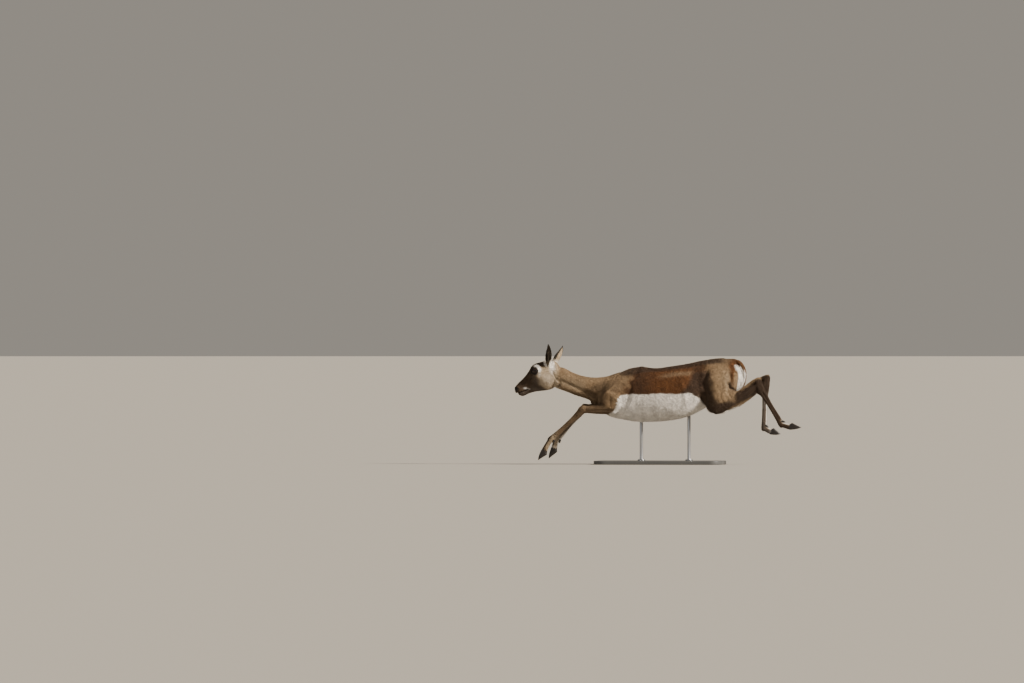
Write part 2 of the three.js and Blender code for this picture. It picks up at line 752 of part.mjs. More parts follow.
for (const leg of LEGS) {
  const mass = massBody(leg);
  const room = massBody(leg, SEAM).add(limbBody(leg, SEAM));
  torso = torso.subtract(room);
  neck = neck.subtract(room);
  const [upper, lower] = isFore(leg) ? ["upper_arm", "forearm"] : ["thigh", "shank"];
  const knee = jointPlane(leg, 1);
  const fetlock = jointPlane(leg, 2);
  const coronet = jointPlane(leg, 3);
  addNode(`${leg.name}_${upper}`, mass, COAT);
  const limb = largest(limbBody(leg).subtract(massBody(leg, SEAM)));
  addNode(`${leg.name}_${lower}`, keepBeyond(limb, knee.point, away(knee.normal)), COAT);
  const belowKnee = keepBeyond(limb, knee.point, knee.normal);
  addNode(`${leg.name}_cannon`, keepBeyond(belowKnee, fetlock.point, away(fetlock.normal)), COAT);
  const foot = keepBeyond(belowKnee, fetlock.point, fetlock.normal);
  addNode(`${leg.name}_pastern`, keepBeyond(foot, coronet.point, away(coronet.normal)), COAT);
  for (const [side, aside] of [["inner", -1], ["outer", 1]]) {
    const hoof = keepBeyond(hoofBody(leg, aside), coronet.point, coronet.normal);
    addNode(`${leg.name}_hoof_${side}`, hoof, HORN);
    const dewclaw = dewclawBody(leg, aside).subtract(limbBody(leg, SEAM));
    addNode(`${leg.name}_dewclaw_${side}`, dewclaw, HORN);
  }
}

for (const [side, hand] of [["left", -1], ["right", 1]]) {
  addNode(`ear_${side}`, earBody(EARS[side]).subtract(skullBody(SEAM)), COAT);
  addNode(`eye_${side}`, eyeball(hand), WET);
  head = head.add(orbit(hand)).add(lids(hand)).subtract(eyeball(hand, SEAM));
  head = head.subtract(slit(NOSTRIL, hand)).subtract(slit(GLAND, hand));
}
head = head.subtract(mouthGroove());

addNode("head", head, FACE);
addNode("neck", neck, COAT);
addNode("tail", tailBody().subtract(trunkBody(SEAM)), COAT);
addNode("stand_base", baseBody(), PAINT);
ROD.xs.forEach((x, k) => addNode(`stand_rod_${["front", "rear"][k]}`, rodBody(x, torso), STEEL));
addNode("torso", torso, COAT);

const part = new THREE.Group();
for (const [name, { body, look }] of nodes) {
  const { vertProperties, triVerts } = body.getMesh();
  const geometry = new THREE.BufferGeometry()
    .setAttribute("position", new THREE.BufferAttribute(new Float32Array(vertProperties), 3))
    .setIndex(new THREE.BufferAttribute(new Uint32Array(triVerts), 1));
  geometry.computeVertexNormals();
  const mesh = new THREE.Mesh(geometry, new THREE.MeshStandardMaterial(look));
  mesh.name = name;
  part.add(mesh);
}

export default part;
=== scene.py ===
"""A blackbuck doe leaping, as a still museum model on a plain stand."""
import math

import bpy
import numpy as np
from bpy.props import FloatProperty, FloatVectorProperty, IntProperty
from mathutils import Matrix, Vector


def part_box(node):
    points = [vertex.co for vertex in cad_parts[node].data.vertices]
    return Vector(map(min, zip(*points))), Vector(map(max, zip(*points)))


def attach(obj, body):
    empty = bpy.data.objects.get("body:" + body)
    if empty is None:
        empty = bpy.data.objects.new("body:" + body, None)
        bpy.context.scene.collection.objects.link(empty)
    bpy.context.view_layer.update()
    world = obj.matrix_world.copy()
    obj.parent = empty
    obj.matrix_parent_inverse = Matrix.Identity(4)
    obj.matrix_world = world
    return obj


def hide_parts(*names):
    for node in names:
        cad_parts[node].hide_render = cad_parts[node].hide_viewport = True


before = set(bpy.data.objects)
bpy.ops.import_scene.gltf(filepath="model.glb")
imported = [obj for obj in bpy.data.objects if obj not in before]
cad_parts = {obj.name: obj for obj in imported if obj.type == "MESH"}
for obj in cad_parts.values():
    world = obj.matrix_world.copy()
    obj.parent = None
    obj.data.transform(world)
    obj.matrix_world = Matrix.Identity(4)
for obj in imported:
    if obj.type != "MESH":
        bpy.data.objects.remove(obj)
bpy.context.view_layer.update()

bl_info = {
    "name": "Blackbuck doe",
    "version": (1, 0, 0),
    "blender": (4, 5, 0),
    "location": "View3D > Sidebar > Blackbuck",
    "description": "Skin, coat, eyes, hooves and stand of a leaping blackbuck doe",
    "category": "Object",
}

MM = 0.001  # the tables below are in millimetres, and meshes in metres
SIDES = (-1, 1)  # the left side of the animal is -Y

# Lengthwise sections: x, y, z, lean, rise, drop, side, and how square the top and bottom halves are.
# Each is an upright slice across a form. Lean turns its top towards the tail, in degrees.
TRUNK = (
    (-318, 0, 350, 6, 66, 66, 40, 2.0, 2.0),
    (-282, 0, 346, 5, 72, 86, 54, 1.9, 2.1),
    (-232, 0, 336, 3, 94, 108, 66, 1.75, 2.2),
    (-164, 0, 336, 0, 120, 124, 74, 1.65, 2.3),
    (-106, 0, 334, 0, 136, 130, 80, 1.7, 2.2),
    (-24, 0, 330, 0, 133, 126, 91, 1.9, 2.1),
    (58, 0, 332, 0, 139, 121, 97, 2.0, 2.1),
    (134, 0, 340, 0, 143, 111, 94, 2.05, 2.1),
    (202, 0, 358, 0, 139, 97, 85, 2.05, 2.0),
    (269, 0, 380, 0, 127, 82, 78, 2.0, 2.0),
    (326, 0, 404, 0, 106, 74, 69, 1.95, 2.0),
    (366, 0, 416, -6, 92, 62, 52, 1.95, 2.0),
    (388, 0, 420, -14, 67, 48, 36, 2.0, 2.0),
)
NECK = (
    (-512, 0, 424, 14, 52, 50, 34, 2.0, 2.0),
    (-475, 0, 413, 14, 53, 54, 35, 2.0, 2.0),
    (-434, 0, 395, 16, 50, 51, 33, 2.0, 2.0),
    (-390, 0, 379, 18, 51, 52, 34, 2.0, 2.0),
    (-337, 0, 367, 20, 56, 57, 41, 1.95, 2.0),
    (-283, 0, 357, 20, 72, 70, 52, 1.9, 2.0),
    (-228, 0, 354, 19, 96, 90, 62, 1.8, 2.0),
)
HEAD = (
    (-694, 0, 361, -14, 15, 21, 14, 2.3, 2.3),
    (-685, 0, 361, -18, 24, 31, 19, 2.3, 2.4),
    (-671, 0, 363, -24, 33, 37, 20.5, 2.1, 2.3),
    (-652, 0, 373, -31, 38, 39, 21, 2.0, 2.2),
    (-629, 0, 386, -34, 45, 46, 25, 2.2, 2.1),
    (-604, 0, 399, -33, 58, 56, 33, 2.8, 2.0),
    (-578, 0, 416, -30, 73, 69, 39, 2.8, 1.9),
    (-551, 0, 429, -26, 71, 72, 41, 2.5, 1.9),
    (-523, 0, 441, -24, 64, 61, 38, 2.3, 2.0),
    (-502, 0, 452, -22, 48, 42, 30, 2.1, 2.0),
)
TAIL = (
    (352, 0, 500, 8, 10, 14, 12, 2, 2),
    (382, 0, 490, 34, 9, 10, 13, 2, 2),
    (403, 0, 463, 66, 8, 8, 15, 2, 2),
    (410, 0, 428, 88, 7, 7, 16, 2, 2),
    (407, 0, 396, 98, 6, 6, 13, 2, 2),
    (399, 0, 370, 108, 4, 4, 7, 2, 2),
)
SHOULDER = (
    (-128, 20, 442, 118, 34, 34, 11, 2, 2),
    (-166, 35, 408, 116, 50, 46, 18, 2, 2),
    (-202, 46, 372, 108, 64, 56, 25, 2, 2),
    (-222, 50, 336, 98, 72, 62, 28, 2, 2),
    (-224, 53, 301, 91, 62, 52, 28, 2, 2),
    (-222, 54, 272, 88, 44, 34, 23, 2, 2),
    (-222, 54, 254, 88, 26, 22, 14, 2, 2),
)
HAUNCH = (
    (312, 34, 463, 92, 54, 50, 18, 2, 2),
    (305, 44, 430, 91, 76, 76, 28, 2, 2),
    (298, 50, 389, 90, 82, 84, 35, 2, 2),
    (294, 52, 348, 92, 80, 83, 37, 2, 2),
    (289, 52, 305, 92, 72, 75, 34, 2, 2),
    (283, 52, 271, 92, 54, 60, 27, 2, 2),
    (280, 52, 254, 92, 38, 44, 18, 2, 2),
)

# Girths along a leg: place counted in joints, front, back, side, how square, and how far aside
FETLOCK_GIRTHS = ((2, 16, 17, 14, 2.1, 0), (2.25, 14, 13, 13, 2.2, 0), (2.5, 10, 9, 9, 2.2, 0))
FORE_GIRTHS = (
    (0, 24, 26, 17, 2, 0),
    (0.25, 25, 26, 19, 2, 0),
    (0.55, 22, 24, 17, 2.1, 0),
    (0.85, 19, 20, 15, 2.3, 0),
    (1, 19, 19, 16, 2.4, 0),
    (1.14, 16, 17, 14, 2.3, 0),
    (1.3, 12, 13.5, 11, 2.3, 0),
    (1.6, 10.5, 12, 10, 2.3, 0),
    (1.86, 13, 15, 12, 2.2, 0),
    *FETLOCK_GIRTHS,
)
HIND_GIRTHS = (
    (0, 24, 30, 22, 2, 0),
    (0.3, 36, 32, 25, 2, 0),
    (0.55, 35, 26, 21, 2, 0),
    (0.8, 27, 33, 16, 2.1, 0),
    (0.93, 28, 43, 15, 2.2, 0),
    (1, 28, 43, 15, 2.2, 0),
    (1.1, 25, 29, 14.5, 2.3, 0),
    (1.25, 15, 19, 12.5, 2.3, 0),
    (1.5, 12, 14, 10.5, 2.3, 0),
    (1.82, 13, 15, 11.5, 2.3, 0),
    *FETLOCK_GIRTHS,
)
TOE = (
    (2, 12, 13, 7, 2.1, 5.5),
    (2.5, 13, 12, 7.2, 2.1, 7),
    (3, 12.5, 16.5, 7.5, 2.3, 7.9),
    (3.12, 12, 17, 7.5, 2.4, 8),
)
HOOF = (
    (2.85, 11, 14, 6.4, 2.3, 7.8),
    (2.98, 12.5, 16.5, 7.3, 2.5, 7.9),
    (3.04, 12.5, 18, 7.6, 2.6, 8),
    (3.16, 12, 20.5, 7.8, 2.8, 8.1),
    (3.45, 10, 14, 7.2, 2.8, 8),
    (3.75, 6.5, 7, 5.4, 2.6, 7.5),
    (3.93, 3, 3, 3, 2.2, 6.9),
    (4, 1.2, 1.3, 1.4, 2, 6.6),
)
LEGS = {
    "foreleg_left": (-1, ((-214, 54, 267), (-367, 48, 264), (-522, 46, 121), (-556, 46, 64), (-582, 46, 23))),
    "foreleg_right": (1, ((-224, 54, 273), (-369, 48, 272), (-505, 46, 119), (-519, 46, 75), (-542, 46, 30))),
    "hindleg_left": (-1, ((270, 54, 262), (477, 60, 380), (591, 58, 193), (634, 58, 180), (684, 58, 179))),
    "hindleg_right": (1, ((282, 54, 265), (500, 60, 395), (496, 58, 175), (531, 58, 156), (574, 58, 147))),
}

BEND_REACH = 0.22  # of a bone, over which sections turn into the next bone's way

# The face, in millimetres, on the right side
EYE = np.array((-600.0, 30.0, 449.0))
EYE_RADIUS = 16.0
GAZE = np.array((-0.3, 1.0, 0.1)) / np.linalg.norm((-0.3, 1.0, 0.1))
LID_SLOPE = math.radians(24)
LID_OPENING = (15.2, 12.0)  # half of its length and of its height
LID_REACH = 17.4  # from the eye's middle to the rim
LID_SOCKET = (27, 22, 20)  # the flesh round the ball: its reach along the lids, across them and out
SOCKET_BACK = 7.5  # how far its middle is behind the eye's
MOUTH_LINE = ((-634, 25, 361), (-650, 23, 354.5), (-668, 21, 347.5), (-684, 16, 342.5), (-698, 0, 341))
EARS = {
    "ear_left": ((-533, -25, 472), (-535, -62, 579), (-0.5, -0.84, 0)),
    "ear_right": ((-520, 25, 470), (-478, 58, 572), (-0.8, 0.55, 0)),
}
EAR_WIDTHS = (44, 54, 54, 42, 23, 3)
EAR_ROLLS = (310, 240, 178, 128, 90, 60)
EAR_BOW = 0.14
EAR_WALL = 2.4

# The camera, from the photograph: a long lens, far off, a little towards the tail
PHOTO_SIZE = (1024, 683)
METRES_PER_PIXEL = 0.0048
MIDDLE_PIXEL = (660, 464.508)  # the pixel of the row frame's origin
CAMERA_YAW = math.radians(7)
CAMERA_LENS = 400.0
CAMERA_SENSOR = 36.0


def soft(x, low, high):
    """A smooth step: 0 below low, 1 above high, and 3t^2 - 2t^3 between."""
    t = np.clip((x - low) / (high - low), 0, 1)
    return t * t * (3 - 2 * t)


def unit(v):
    """Vectors scaled to length 1 along the last axis."""
    v = np.asarray(v, float)
    return v / np.maximum(np.linalg.norm(v, axis=-1, keepdims=True), 1e-12)


def colour(hex_code):
    """An sRGB hex colour as linear red, green, blue and alpha."""
    srgb = np.array([int(hex_code[i : i + 2], 16) for i in (1, 3, 5)]) / 255
    linear = np.where(srgb <= 0.04045, srgb / 12.92, ((srgb + 0.055) / 1.055) ** 2.4)
    return (*(float(c) for c in linear), 1.0)


def folded(points):
    """The same places, all on the right side."""
    return np.stack([points[:, 0], np.abs(points[:, 1]), points[:, 2]], -1)


def hump(x, z, middle_x, middle_z, long, tall):
    """A bell over the side view: 1 at its middle, with its own reach along x and along z."""
    return np.exp(-(((x - middle_x) / long) ** 2) - ((z - middle_z) / tall) ** 2)


def through(rows, per):
    """A uniform Catmull-Rom curve through rows of numbers, with per steps from each row to the next."""
    rows = np.asarray(rows, float)
    held = np.vstack([2 * rows[0] - rows[1], rows, 2 * rows[-1] - rows[-2]])
    t = np.linspace(0, len(rows) - 1, (len(rows) - 1) * per + 1)
    i = np.minimum(t.astype(int), len(rows) - 2)
    f = (t - i)[:, None]
    a, b, c, d = held[i], held[i + 1], held[i + 2], held[i + 3]
    return b + 0.5 * f * (c - a + f * (2 * a - 5 * b + 4 * c - d + f * (3 * (b - c) + d - a)))


def tube_faces(rings, sides):
    """Quads between rings of points, and triangles to the two tips that follow them."""
    k = np.arange(sides)
    r = np.arange(rings - 1)[:, None] * sides
    a, b = r + k, r + (k + 1) % sides
    quads = np.stack([a, a + sides, b + sides, b], -1).reshape(-1, 4)
    first, last = rings * sides, rings * sides + 1
    foot = (rings - 1) * sides
    start = np.stack([np.full(sides, first), k, (k + 1) % sides], -1)
    end = np.stack([np.full(sides, last), foot + (k + 1) % sides, foot + k], -1)
    return quads, np.vstack([start, end])


def loft(rows, domes, inset=0.0, sides=64, per=6, swells=()):
    """A closed form through sections. A section's rim is the superellipse out = side cos^p, up = rise
    or drop sin^p, with p from how square it is, and each end is rounded by a quarter ellipse. Swells
    are bells that push its sides out, most where they are widest."""
    s = through(rows, per)
    turn = np.linspace(0, np.pi / 2, 9)[1:-1]
    share = np.concatenate([np.cos(turn)[::-1], np.ones(len(s)), np.cos(turn)])
    ahead = np.concatenate([-domes[0] * np.sin(turn)[::-1], np.zeros(len(s)), domes[1] * np.sin(turn)])
    s = np.vstack([s[:1].repeat(len(turn), 0), s, s[-1:].repeat(len(turn), 0)])
    x, y, z, lean, rise, drop, side, top, bottom = (column[:, None] for column in s.T)
    angle = np.arange(sides) * 2 * np.pi / sides
    cos, sin = np.cos(angle), np.sin(angle)
    power = 2 / np.where(sin > 0, top, bottom)
    out = np.sign(cos) * np.abs(cos) ** power * (side - inset) * share[:, None]
    up = np.sign(sin) * np.abs(sin) ** power * (np.where(sin > 0, rise, drop) - inset) * share[:, None]
    if swells:
        swelling = swell_of(swells, x, z, lean, up)
        out = out + np.sign(out) * swelling * (np.abs(out) / (side * share[:, None])) ** 2
    tilt = np.radians(lean)
    ahead = ahead[:, None]
    points = np.stack(
        [
            x + up * np.sin(tilt) + ahead * np.cos(tilt),
            y + out,
            z + up * np.cos(tilt) - ahead * np.sin(tilt),
        ],
        -1,
    )
    tips = []
    for row, dome in ((s[0], -domes[0] + inset), (s[-1], domes[1] - inset)):
        lean_here = math.radians(row[3])
        tips.append(row[:3] + dome * np.array((math.cos(lean_here), 0, -math.sin(lean_here))))
    quads, tris = tube_faces(len(s), sides)
    return np.vstack([points.reshape(-1, 3), tips]), quads, tris


def mirrored(rows, hand):
    """The same sections on the left (-1) or the right (1) side."""
    rows = np.array(rows, float)
    rows[:, 1] *= hand
    return rows


def leg_rows(leg, girths, aside=0.0):
    """Sections square to a leg's bones at each girth's place, turning by half of each bend near the end
    of a bone, with rise to the back of the leg and drop to the front."""
    hand, joints = LEGS[leg]
    joints = np.array(joints, float)
    step = np.diff(joints, axis=0)
    heading = np.unwrap(np.arctan2(step[:, 2], step[:, 0]))
    along, front, back, side, power, out = np.array(girths, float).T
    bone = np.minimum(along.astype(int), len(step) - 1)
    f = along - bone
    before = heading[np.maximum(bone - 1, 0)] - heading[bone]
    after = heading[np.minimum(bone + 1, len(step) - 1)] - heading[bone]
    angle = heading[bone] + 0.5 * before * np.maximum(0, 1 - f / BEND_REACH)
    angle = angle + 0.5 * after * np.maximum(0, 1 - (1 - f) / BEND_REACH)
    middle = joints[bone] + step[bone] * f[:, None]
    y = hand * (middle[:, 1] + aside * out)
    return np.stack([middle[:, 0], y, middle[:, 2], -np.degrees(angle), back, front, side, power, power], -1)


def leg_point(leg, along, back=0.0, aside=0.0):
    """A point by a leg: so far along its joints, and so far to its back and to its outer side."""
    row = leg_rows(leg, ((along, 1, 1, 1, 2, 0),))[0]
    tilt = math.radians(row[3])
    hand = LEGS[leg][0]
    return row[:3] + np.array((back * math.sin(tilt), hand * aside, back * math.cos(tilt)))


def eye_axes(hand):
    """The eye's middle, the way it looks, and the directions along and across its lids."""
    flip = np.array((1, hand, 1))
    middle, gaze = EYE * flip, GAZE * flip
    along = np.array((-math.cos(LID_SLOPE), 0, -math.sin(LID_SLOPE)))
    along = unit(along - gaze * (along @ gaze))
    return middle, gaze, along, np.cross(gaze, along)


def ball(centre, axes, radii, sides=48, rings=24):
    """An ellipsoid: the sphere of two angles, scaled along three axes."""
    lat = np.linspace(0, np.pi, rings + 2)[1:-1, None]
    lon = np.arange(sides) * 2 * np.pi / sides
    local = np.stack([np.sin(lat) * np.cos(lon), np.sin(lat) * np.sin(lon), np.cos(lat) + 0 * lon], -1)
    local = np.vstack([local.reshape(-1, 3), [(0, 0, 1), (0, 0, -1)]])
    quads, tris = tube_faces(rings, sides)
    return centre + (local * radii) @ np.array(axes), quads, tris


def lid(centre, axes, opening, reach, tube):
    """A rim round the eye: a circle of radius tube(u) carried round an ellipse that lies on a sphere,
    so that its depth is the root of reach squared less the ellipse's own radius squared."""
    sides, rings = 18, 80
    u = np.arange(rings)[:, None] * 2 * np.pi / rings
    v = np.arange(sides) * 2 * np.pi / sides
    path = np.stack([opening[0] * np.cos(u), opening[1] * np.sin(u)], -1)
    depth = np.sqrt(reach**2 - (path**2).sum(-1))
    outward = unit(np.concatenate([path, depth[..., None]], -1))
    along = unit(np.roll(path, -1, 0) - np.roll(path, 1, 0))
    sideways = np.cross(outward, np.concatenate([along, 0 * depth[..., None]], -1))
    local = np.concatenate([path, depth[..., None]], -1) + tube(u)[..., None] * (
        outward * np.cos(v)[:, None] + sideways * np.sin(v)[:, None]
    )
    i, j = np.meshgrid(np.arange(rings), np.arange(sides), indexing="ij")
    at = lambda a, b: (a % rings) * sides + b % sides
    quads = np.stack([at(i, j), at(i + 1, j), at(i + 1, j + 1), at(i, j + 1)], -1).reshape(-1, 4)
    return centre + local.reshape(-1, 3) @ np.array(axes), quads, np.zeros((0, 3), int)


def ear_frame(name):
    """An ear's root, the ways up it, across it and out of its opening, and its length."""
    root, tip, opening = (np.array(v, float) for v in EARS[name])
    up = unit(tip - root)
    opening = unit(opening - up * (opening @ up))
    return root, up, np.cross(up, opening), opening, np.linalg.norm(tip - root)


def ear_roll(u, length):
    """At a share u of an ear's length: its width laid flat, its roll in radians, and how far the
    middle of the roll stands out. The radius is width over roll, and the whole bows back a little."""
    sizes = through(np.stack([EAR_WIDTHS, EAR_ROLLS], -1), 20)
    place = np.linspace(0, 1, len(sizes))
    arc = np.interp(u, place, sizes[:, 0])
    roll = np.radians(np.interp(u, place, sizes[:, 1]))
    return arc, roll, 0.5 * arc / roll + EAR_BOW * length * u * (u - 1)


def ear_shell(name):
    """A leaf rolled about its length: at each height an arc of the ear's roll, made thick inwards."""
    root, up, across, opening, length = ear_frame(name)
    lengths, widths = 40, 36
    u = np.linspace(0, 1, lengths)[:, None, None]
    arc, roll, middle = ear_roll(u, length)
    v = np.linspace(-1, 1, widths)[None, :, None]
    inner = np.array((0.0, 1.0))[None, None, :]
    rounded = np.sqrt(np.clip(1.02 - np.abs(v) ** 6, 0.05, 1))
    thick = np.minimum(EAR_WALL, 0.25 * arc) * (1 - 0.5 * u) * rounded
    radius = arc / roll
    r = radius - inner * thick
    turn = v * roll / 2
    points = (
        root
        + up * (length * (u + 0 * r))[..., None]
        + across * (r * np.sin(turn))[..., None]
        + opening * (middle - r * np.cos(turn))[..., None]
    )
    at = np.arange(lengths * widths * 2).reshape(lengths, widths, 2)
    quad = lambda a, b, c, d: np.stack([a, b, c, d], -1).reshape(-1, 4)
    quads = np.vstack(
        [
            quad(at[:-1, :-1, 0], at[1:, :-1, 0], at[1:, 1:, 0], at[:-1, 1:, 0]),
            quad(at[:-1, :-1, 1], at[:-1, 1:, 1], at[1:, 1:, 1], at[1:, :-1, 1]),
            quad(at[:-1, 0, 0], at[:-1, 0, 1], at[1:, 0, 1], at[1:, 0, 0]),
            quad(at[:-1, -1, 0], at[1:, -1, 0], at[1:, -1, 1], at[:-1, -1, 1]),
            quad(at[0, :-1, 0], at[0, 1:, 0], at[0, 1:, 1], at[0, :-1, 1]),
            quad(at[-1, :-1, 0], at[-1, :-1, 1], at[-1, 1:, 1], at[-1, 1:, 0]),
        ]
    )
    return points.reshape(-1, 3), quads, np.zeros((0, 3), int)


def joined(parts):
    """Several meshes as one: their points, quads and triangles in a row."""
    points, quads, tris, start = [], [], [], 0
    for p, q, t in parts:
        points.append(p)
        quads.append(q + start)
        tris.append(t + start)
        start += len(p)
    return np.vstack(points), np.vstack(quads), np.vstack(tris)


def new_mesh(name, points, quads, tris, attributes=None, uv=None):
    """A mesh from points in millimetres and arrays of faces, with attributes on its points."""
    mesh = bpy.data.meshes.new(name)
    mesh.vertices.add(len(points))
    mesh.vertices.foreach_set("co", (np.asarray(points) * MM).astype(np.float32).ravel())
    corners = np.concatenate([quads.ravel(), tris.ravel()]).astype(np.int32)
    mesh.loops.add(len(corners))
    mesh.loops.foreach_set("vertex_index", corners)
    starts = np.concatenate([np.arange(len(quads)) * 4, len(quads) * 4 + np.arange(len(tris)) * 3])
    mesh.polygons.add(len(starts))
    mesh.polygons.foreach_set("loop_start", starts.astype(np.int32))
    mesh.update(calc_edges=True)
    for key, values in (attributes or {}).items():
        set_attribute(mesh, key, values)
    if uv is not None:
        layer = mesh.uv_layers.new(name="OFBake")
        layer.uv.foreach_set("vector", uv.astype(np.float32).ravel())
    return mesh


def set_attribute(mesh, key, values):
    """Numbers or vectors on a mesh's points, under a name."""
    vector = np.ndim(values) == 2
    attribute = mesh.attributes.new(key, "FLOAT_VECTOR" if vector else "FLOAT", "POINT")
    attribute.data.foreach_set("vector" if vector else "value", np.asarray(values, np.float32).ravel())


def points_of(mesh, field="co"):
    """A mesh's points, or their normals, as rows."""
    found = np.empty(len(mesh.vertices) * 3, np.float32)
    mesh.vertices.foreach_get(field, found)
    return found.reshape(-1, 3).astype(float)


def put_points(mesh, points):
    """Moves a mesh's points to these places, in metres."""
    mesh.vertices.foreach_set("co", points.astype(np.float32).ravel())
    mesh.update()


def with_modifier(obj, kind, **settings):
    """Adds a modifier, applies it and gives the object its result."""
    modifier = obj.modifiers.new(kind.title(), kind)
    for key, value in settings.items():
        setattr(modifier, key, value)
    result = bpy.data.meshes.new_from_object(obj.evaluated_get(bpy.context.evaluated_depsgraph_get()))
    obj.modifiers.clear()
    old, obj.data = obj.data, result
    bpy.data.meshes.remove(old)
    return obj


def link(name, mesh):
    """A new object of a mesh, at the origin."""
    obj = bpy.data.objects.new(name, mesh)
    bpy.context.scene.collection.objects.link(obj)
    return obj


def finish_piece(obj, material, slot, *replaced):
    """Gives a piece its material, lets it ride the one body, and hides what it replaces. The slot is not
    used.
    """
    if "sharp_face" not in obj.data.attributes:
        obj.data.shade_smooth()
    obj.data.materials.clear()
    obj.data.materials.append(material)
    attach(obj, "root")
    if replaced:
        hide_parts(*replaced)
    return obj


# The lie of the coat. A simple skeleton runs from nose to tail and down each leg, and hair lies along
# its nearest bones. Over the shoulder and the thigh it lies down and back instead, as these say.
SHOULDER_LIE = (0.45, 0, -0.9)
THIGH_LIE = (0.28, 0, -0.96)
BONE_CORE = 0.12  # of a form's radius, added to the distance so that weights stay finite
OWN_WEIGHT = 1e5


def skeleton():
    """The chains of bones: name, points in millimetres, the form's rough radius, how near the chain a
    point is its own alone (0 where chains only share), and the lies that differ from the bones."""
    head = ((-700, 0, 360), (-640, 0, 388), (-590, 0, 430), (-520, 0, 450))
    trunk = ((-300, 0, 360), (-100, 0, 345), (60, 0, 345), (220, 0, 375), (330, 0, 415), (385, 0, 430))
    chains = [
        ("head", head, 40, 0, {}),
        ("neck", ((-520, 0, 450), (-460, 0, 408), (-390, 0, 380), (-300, 0, 360)), 45, 0, {}),
        ("trunk", trunk, 95, 0, {}),
        ("tail", ((382, 0, 493), (402, 0, 464), (410, 0, 428), (406, 0, 396), (397, 0, 362)), 9, 15, {}),
    ]
    for name, (root, tip, _) in EARS.items():
        foot = tuple(0.78 * a + 0.22 * b for a, b in zip(root, tip))
        chains.append((name, (foot, tip), 14, 24, {}))
    for name, (hand, joints) in LEGS.items():
        fore = name.startswith("fore")
        top = ((-110, 30, 455), (-235, 58, 330)) if fore else ((330, 38, 470), (312, 58, 370))
        points = [(x, hand * y, z) for x, y, z in (*top, *joints)]
        chains.append((name, points, 20, 0, {0: SHOULDER_LIE} if fore else {0: THIGH_LIE, 1: THIGH_LIE}))
    return chains


def lie_of_coat(points):
    """For points in millimetres: the direction in which hair lies, how far along the bones it is, its
    offset from them, and each chain's share. Bones weigh by their nearness to the fifth power, and a
    chain with a reach of its own outweighs all others within it."""
    total = np.zeros(len(points))
    way = np.zeros((len(points), 3))
    along = np.zeros(len(points))
    nearest = np.zeros((len(points), 3))
    shares = {}
    for name, chain, radius, own, lies in skeleton():
        chain = np.array(chain, float)
        lengths = np.linalg.norm(np.diff(chain, axis=0), axis=1)
        starts = np.concatenate([[0], np.cumsum(lengths)])
        held = np.zeros(len(points))
        for k, (a, b, length, start) in enumerate(zip(chain[:-1], chain[1:], lengths, starts)):
            t = np.clip((points - a) @ (b - a) / length**2, 0, 1)
            foot = a + t[:, None] * (b - a)
            gap = np.linalg.norm(points - foot, axis=1)
            weight = (gap / radius + BONE_CORE) ** -5
            if own:
                weight = weight * (1 + OWN_WEIGHT * soft(-gap, -1.3 * own, -own))
            held += weight
            way += weight[:, None] * np.array(lies.get(k, (b - a) / length))
            along += weight * (start + t * length)
            nearest += weight[:, None] * foot
        shares[name] = held
        total += held
    shares = {name: held / total for name, held in shares.items()}
    return unit(way), along / total, points - nearest / total[:, None], shares


def leg_line(leg, first, last):
    """A leg's joints from one to another, as a line on its own side."""
    hand, joints = LEGS[leg]
    return np.array(joints[first : last + 1], float) * (1, hand, 1)


def distance_to_line(points, line):
    """The distance from each point to a line of straight pieces."""
    line = np.array(line, float)
    if len(line) == 1:
        return np.linalg.norm(points - line[0], axis=1)
    best = np.full(len(points), 1e9)
    for a, b in zip(line[:-1], line[1:]):
        t = np.clip((points - a) @ (b - a) / ((b - a) @ (b - a)), 0, 1)
        best = np.minimum(best, np.linalg.norm(points - a - t[:, None] * (b - a), axis=1))
    return best


def near_line(points, line, width):
    """A bell of the distance to a line: 1 on it, and 1/e a width away."""
    return np.exp(-((distance_to_line(points, line) / width) ** 2))


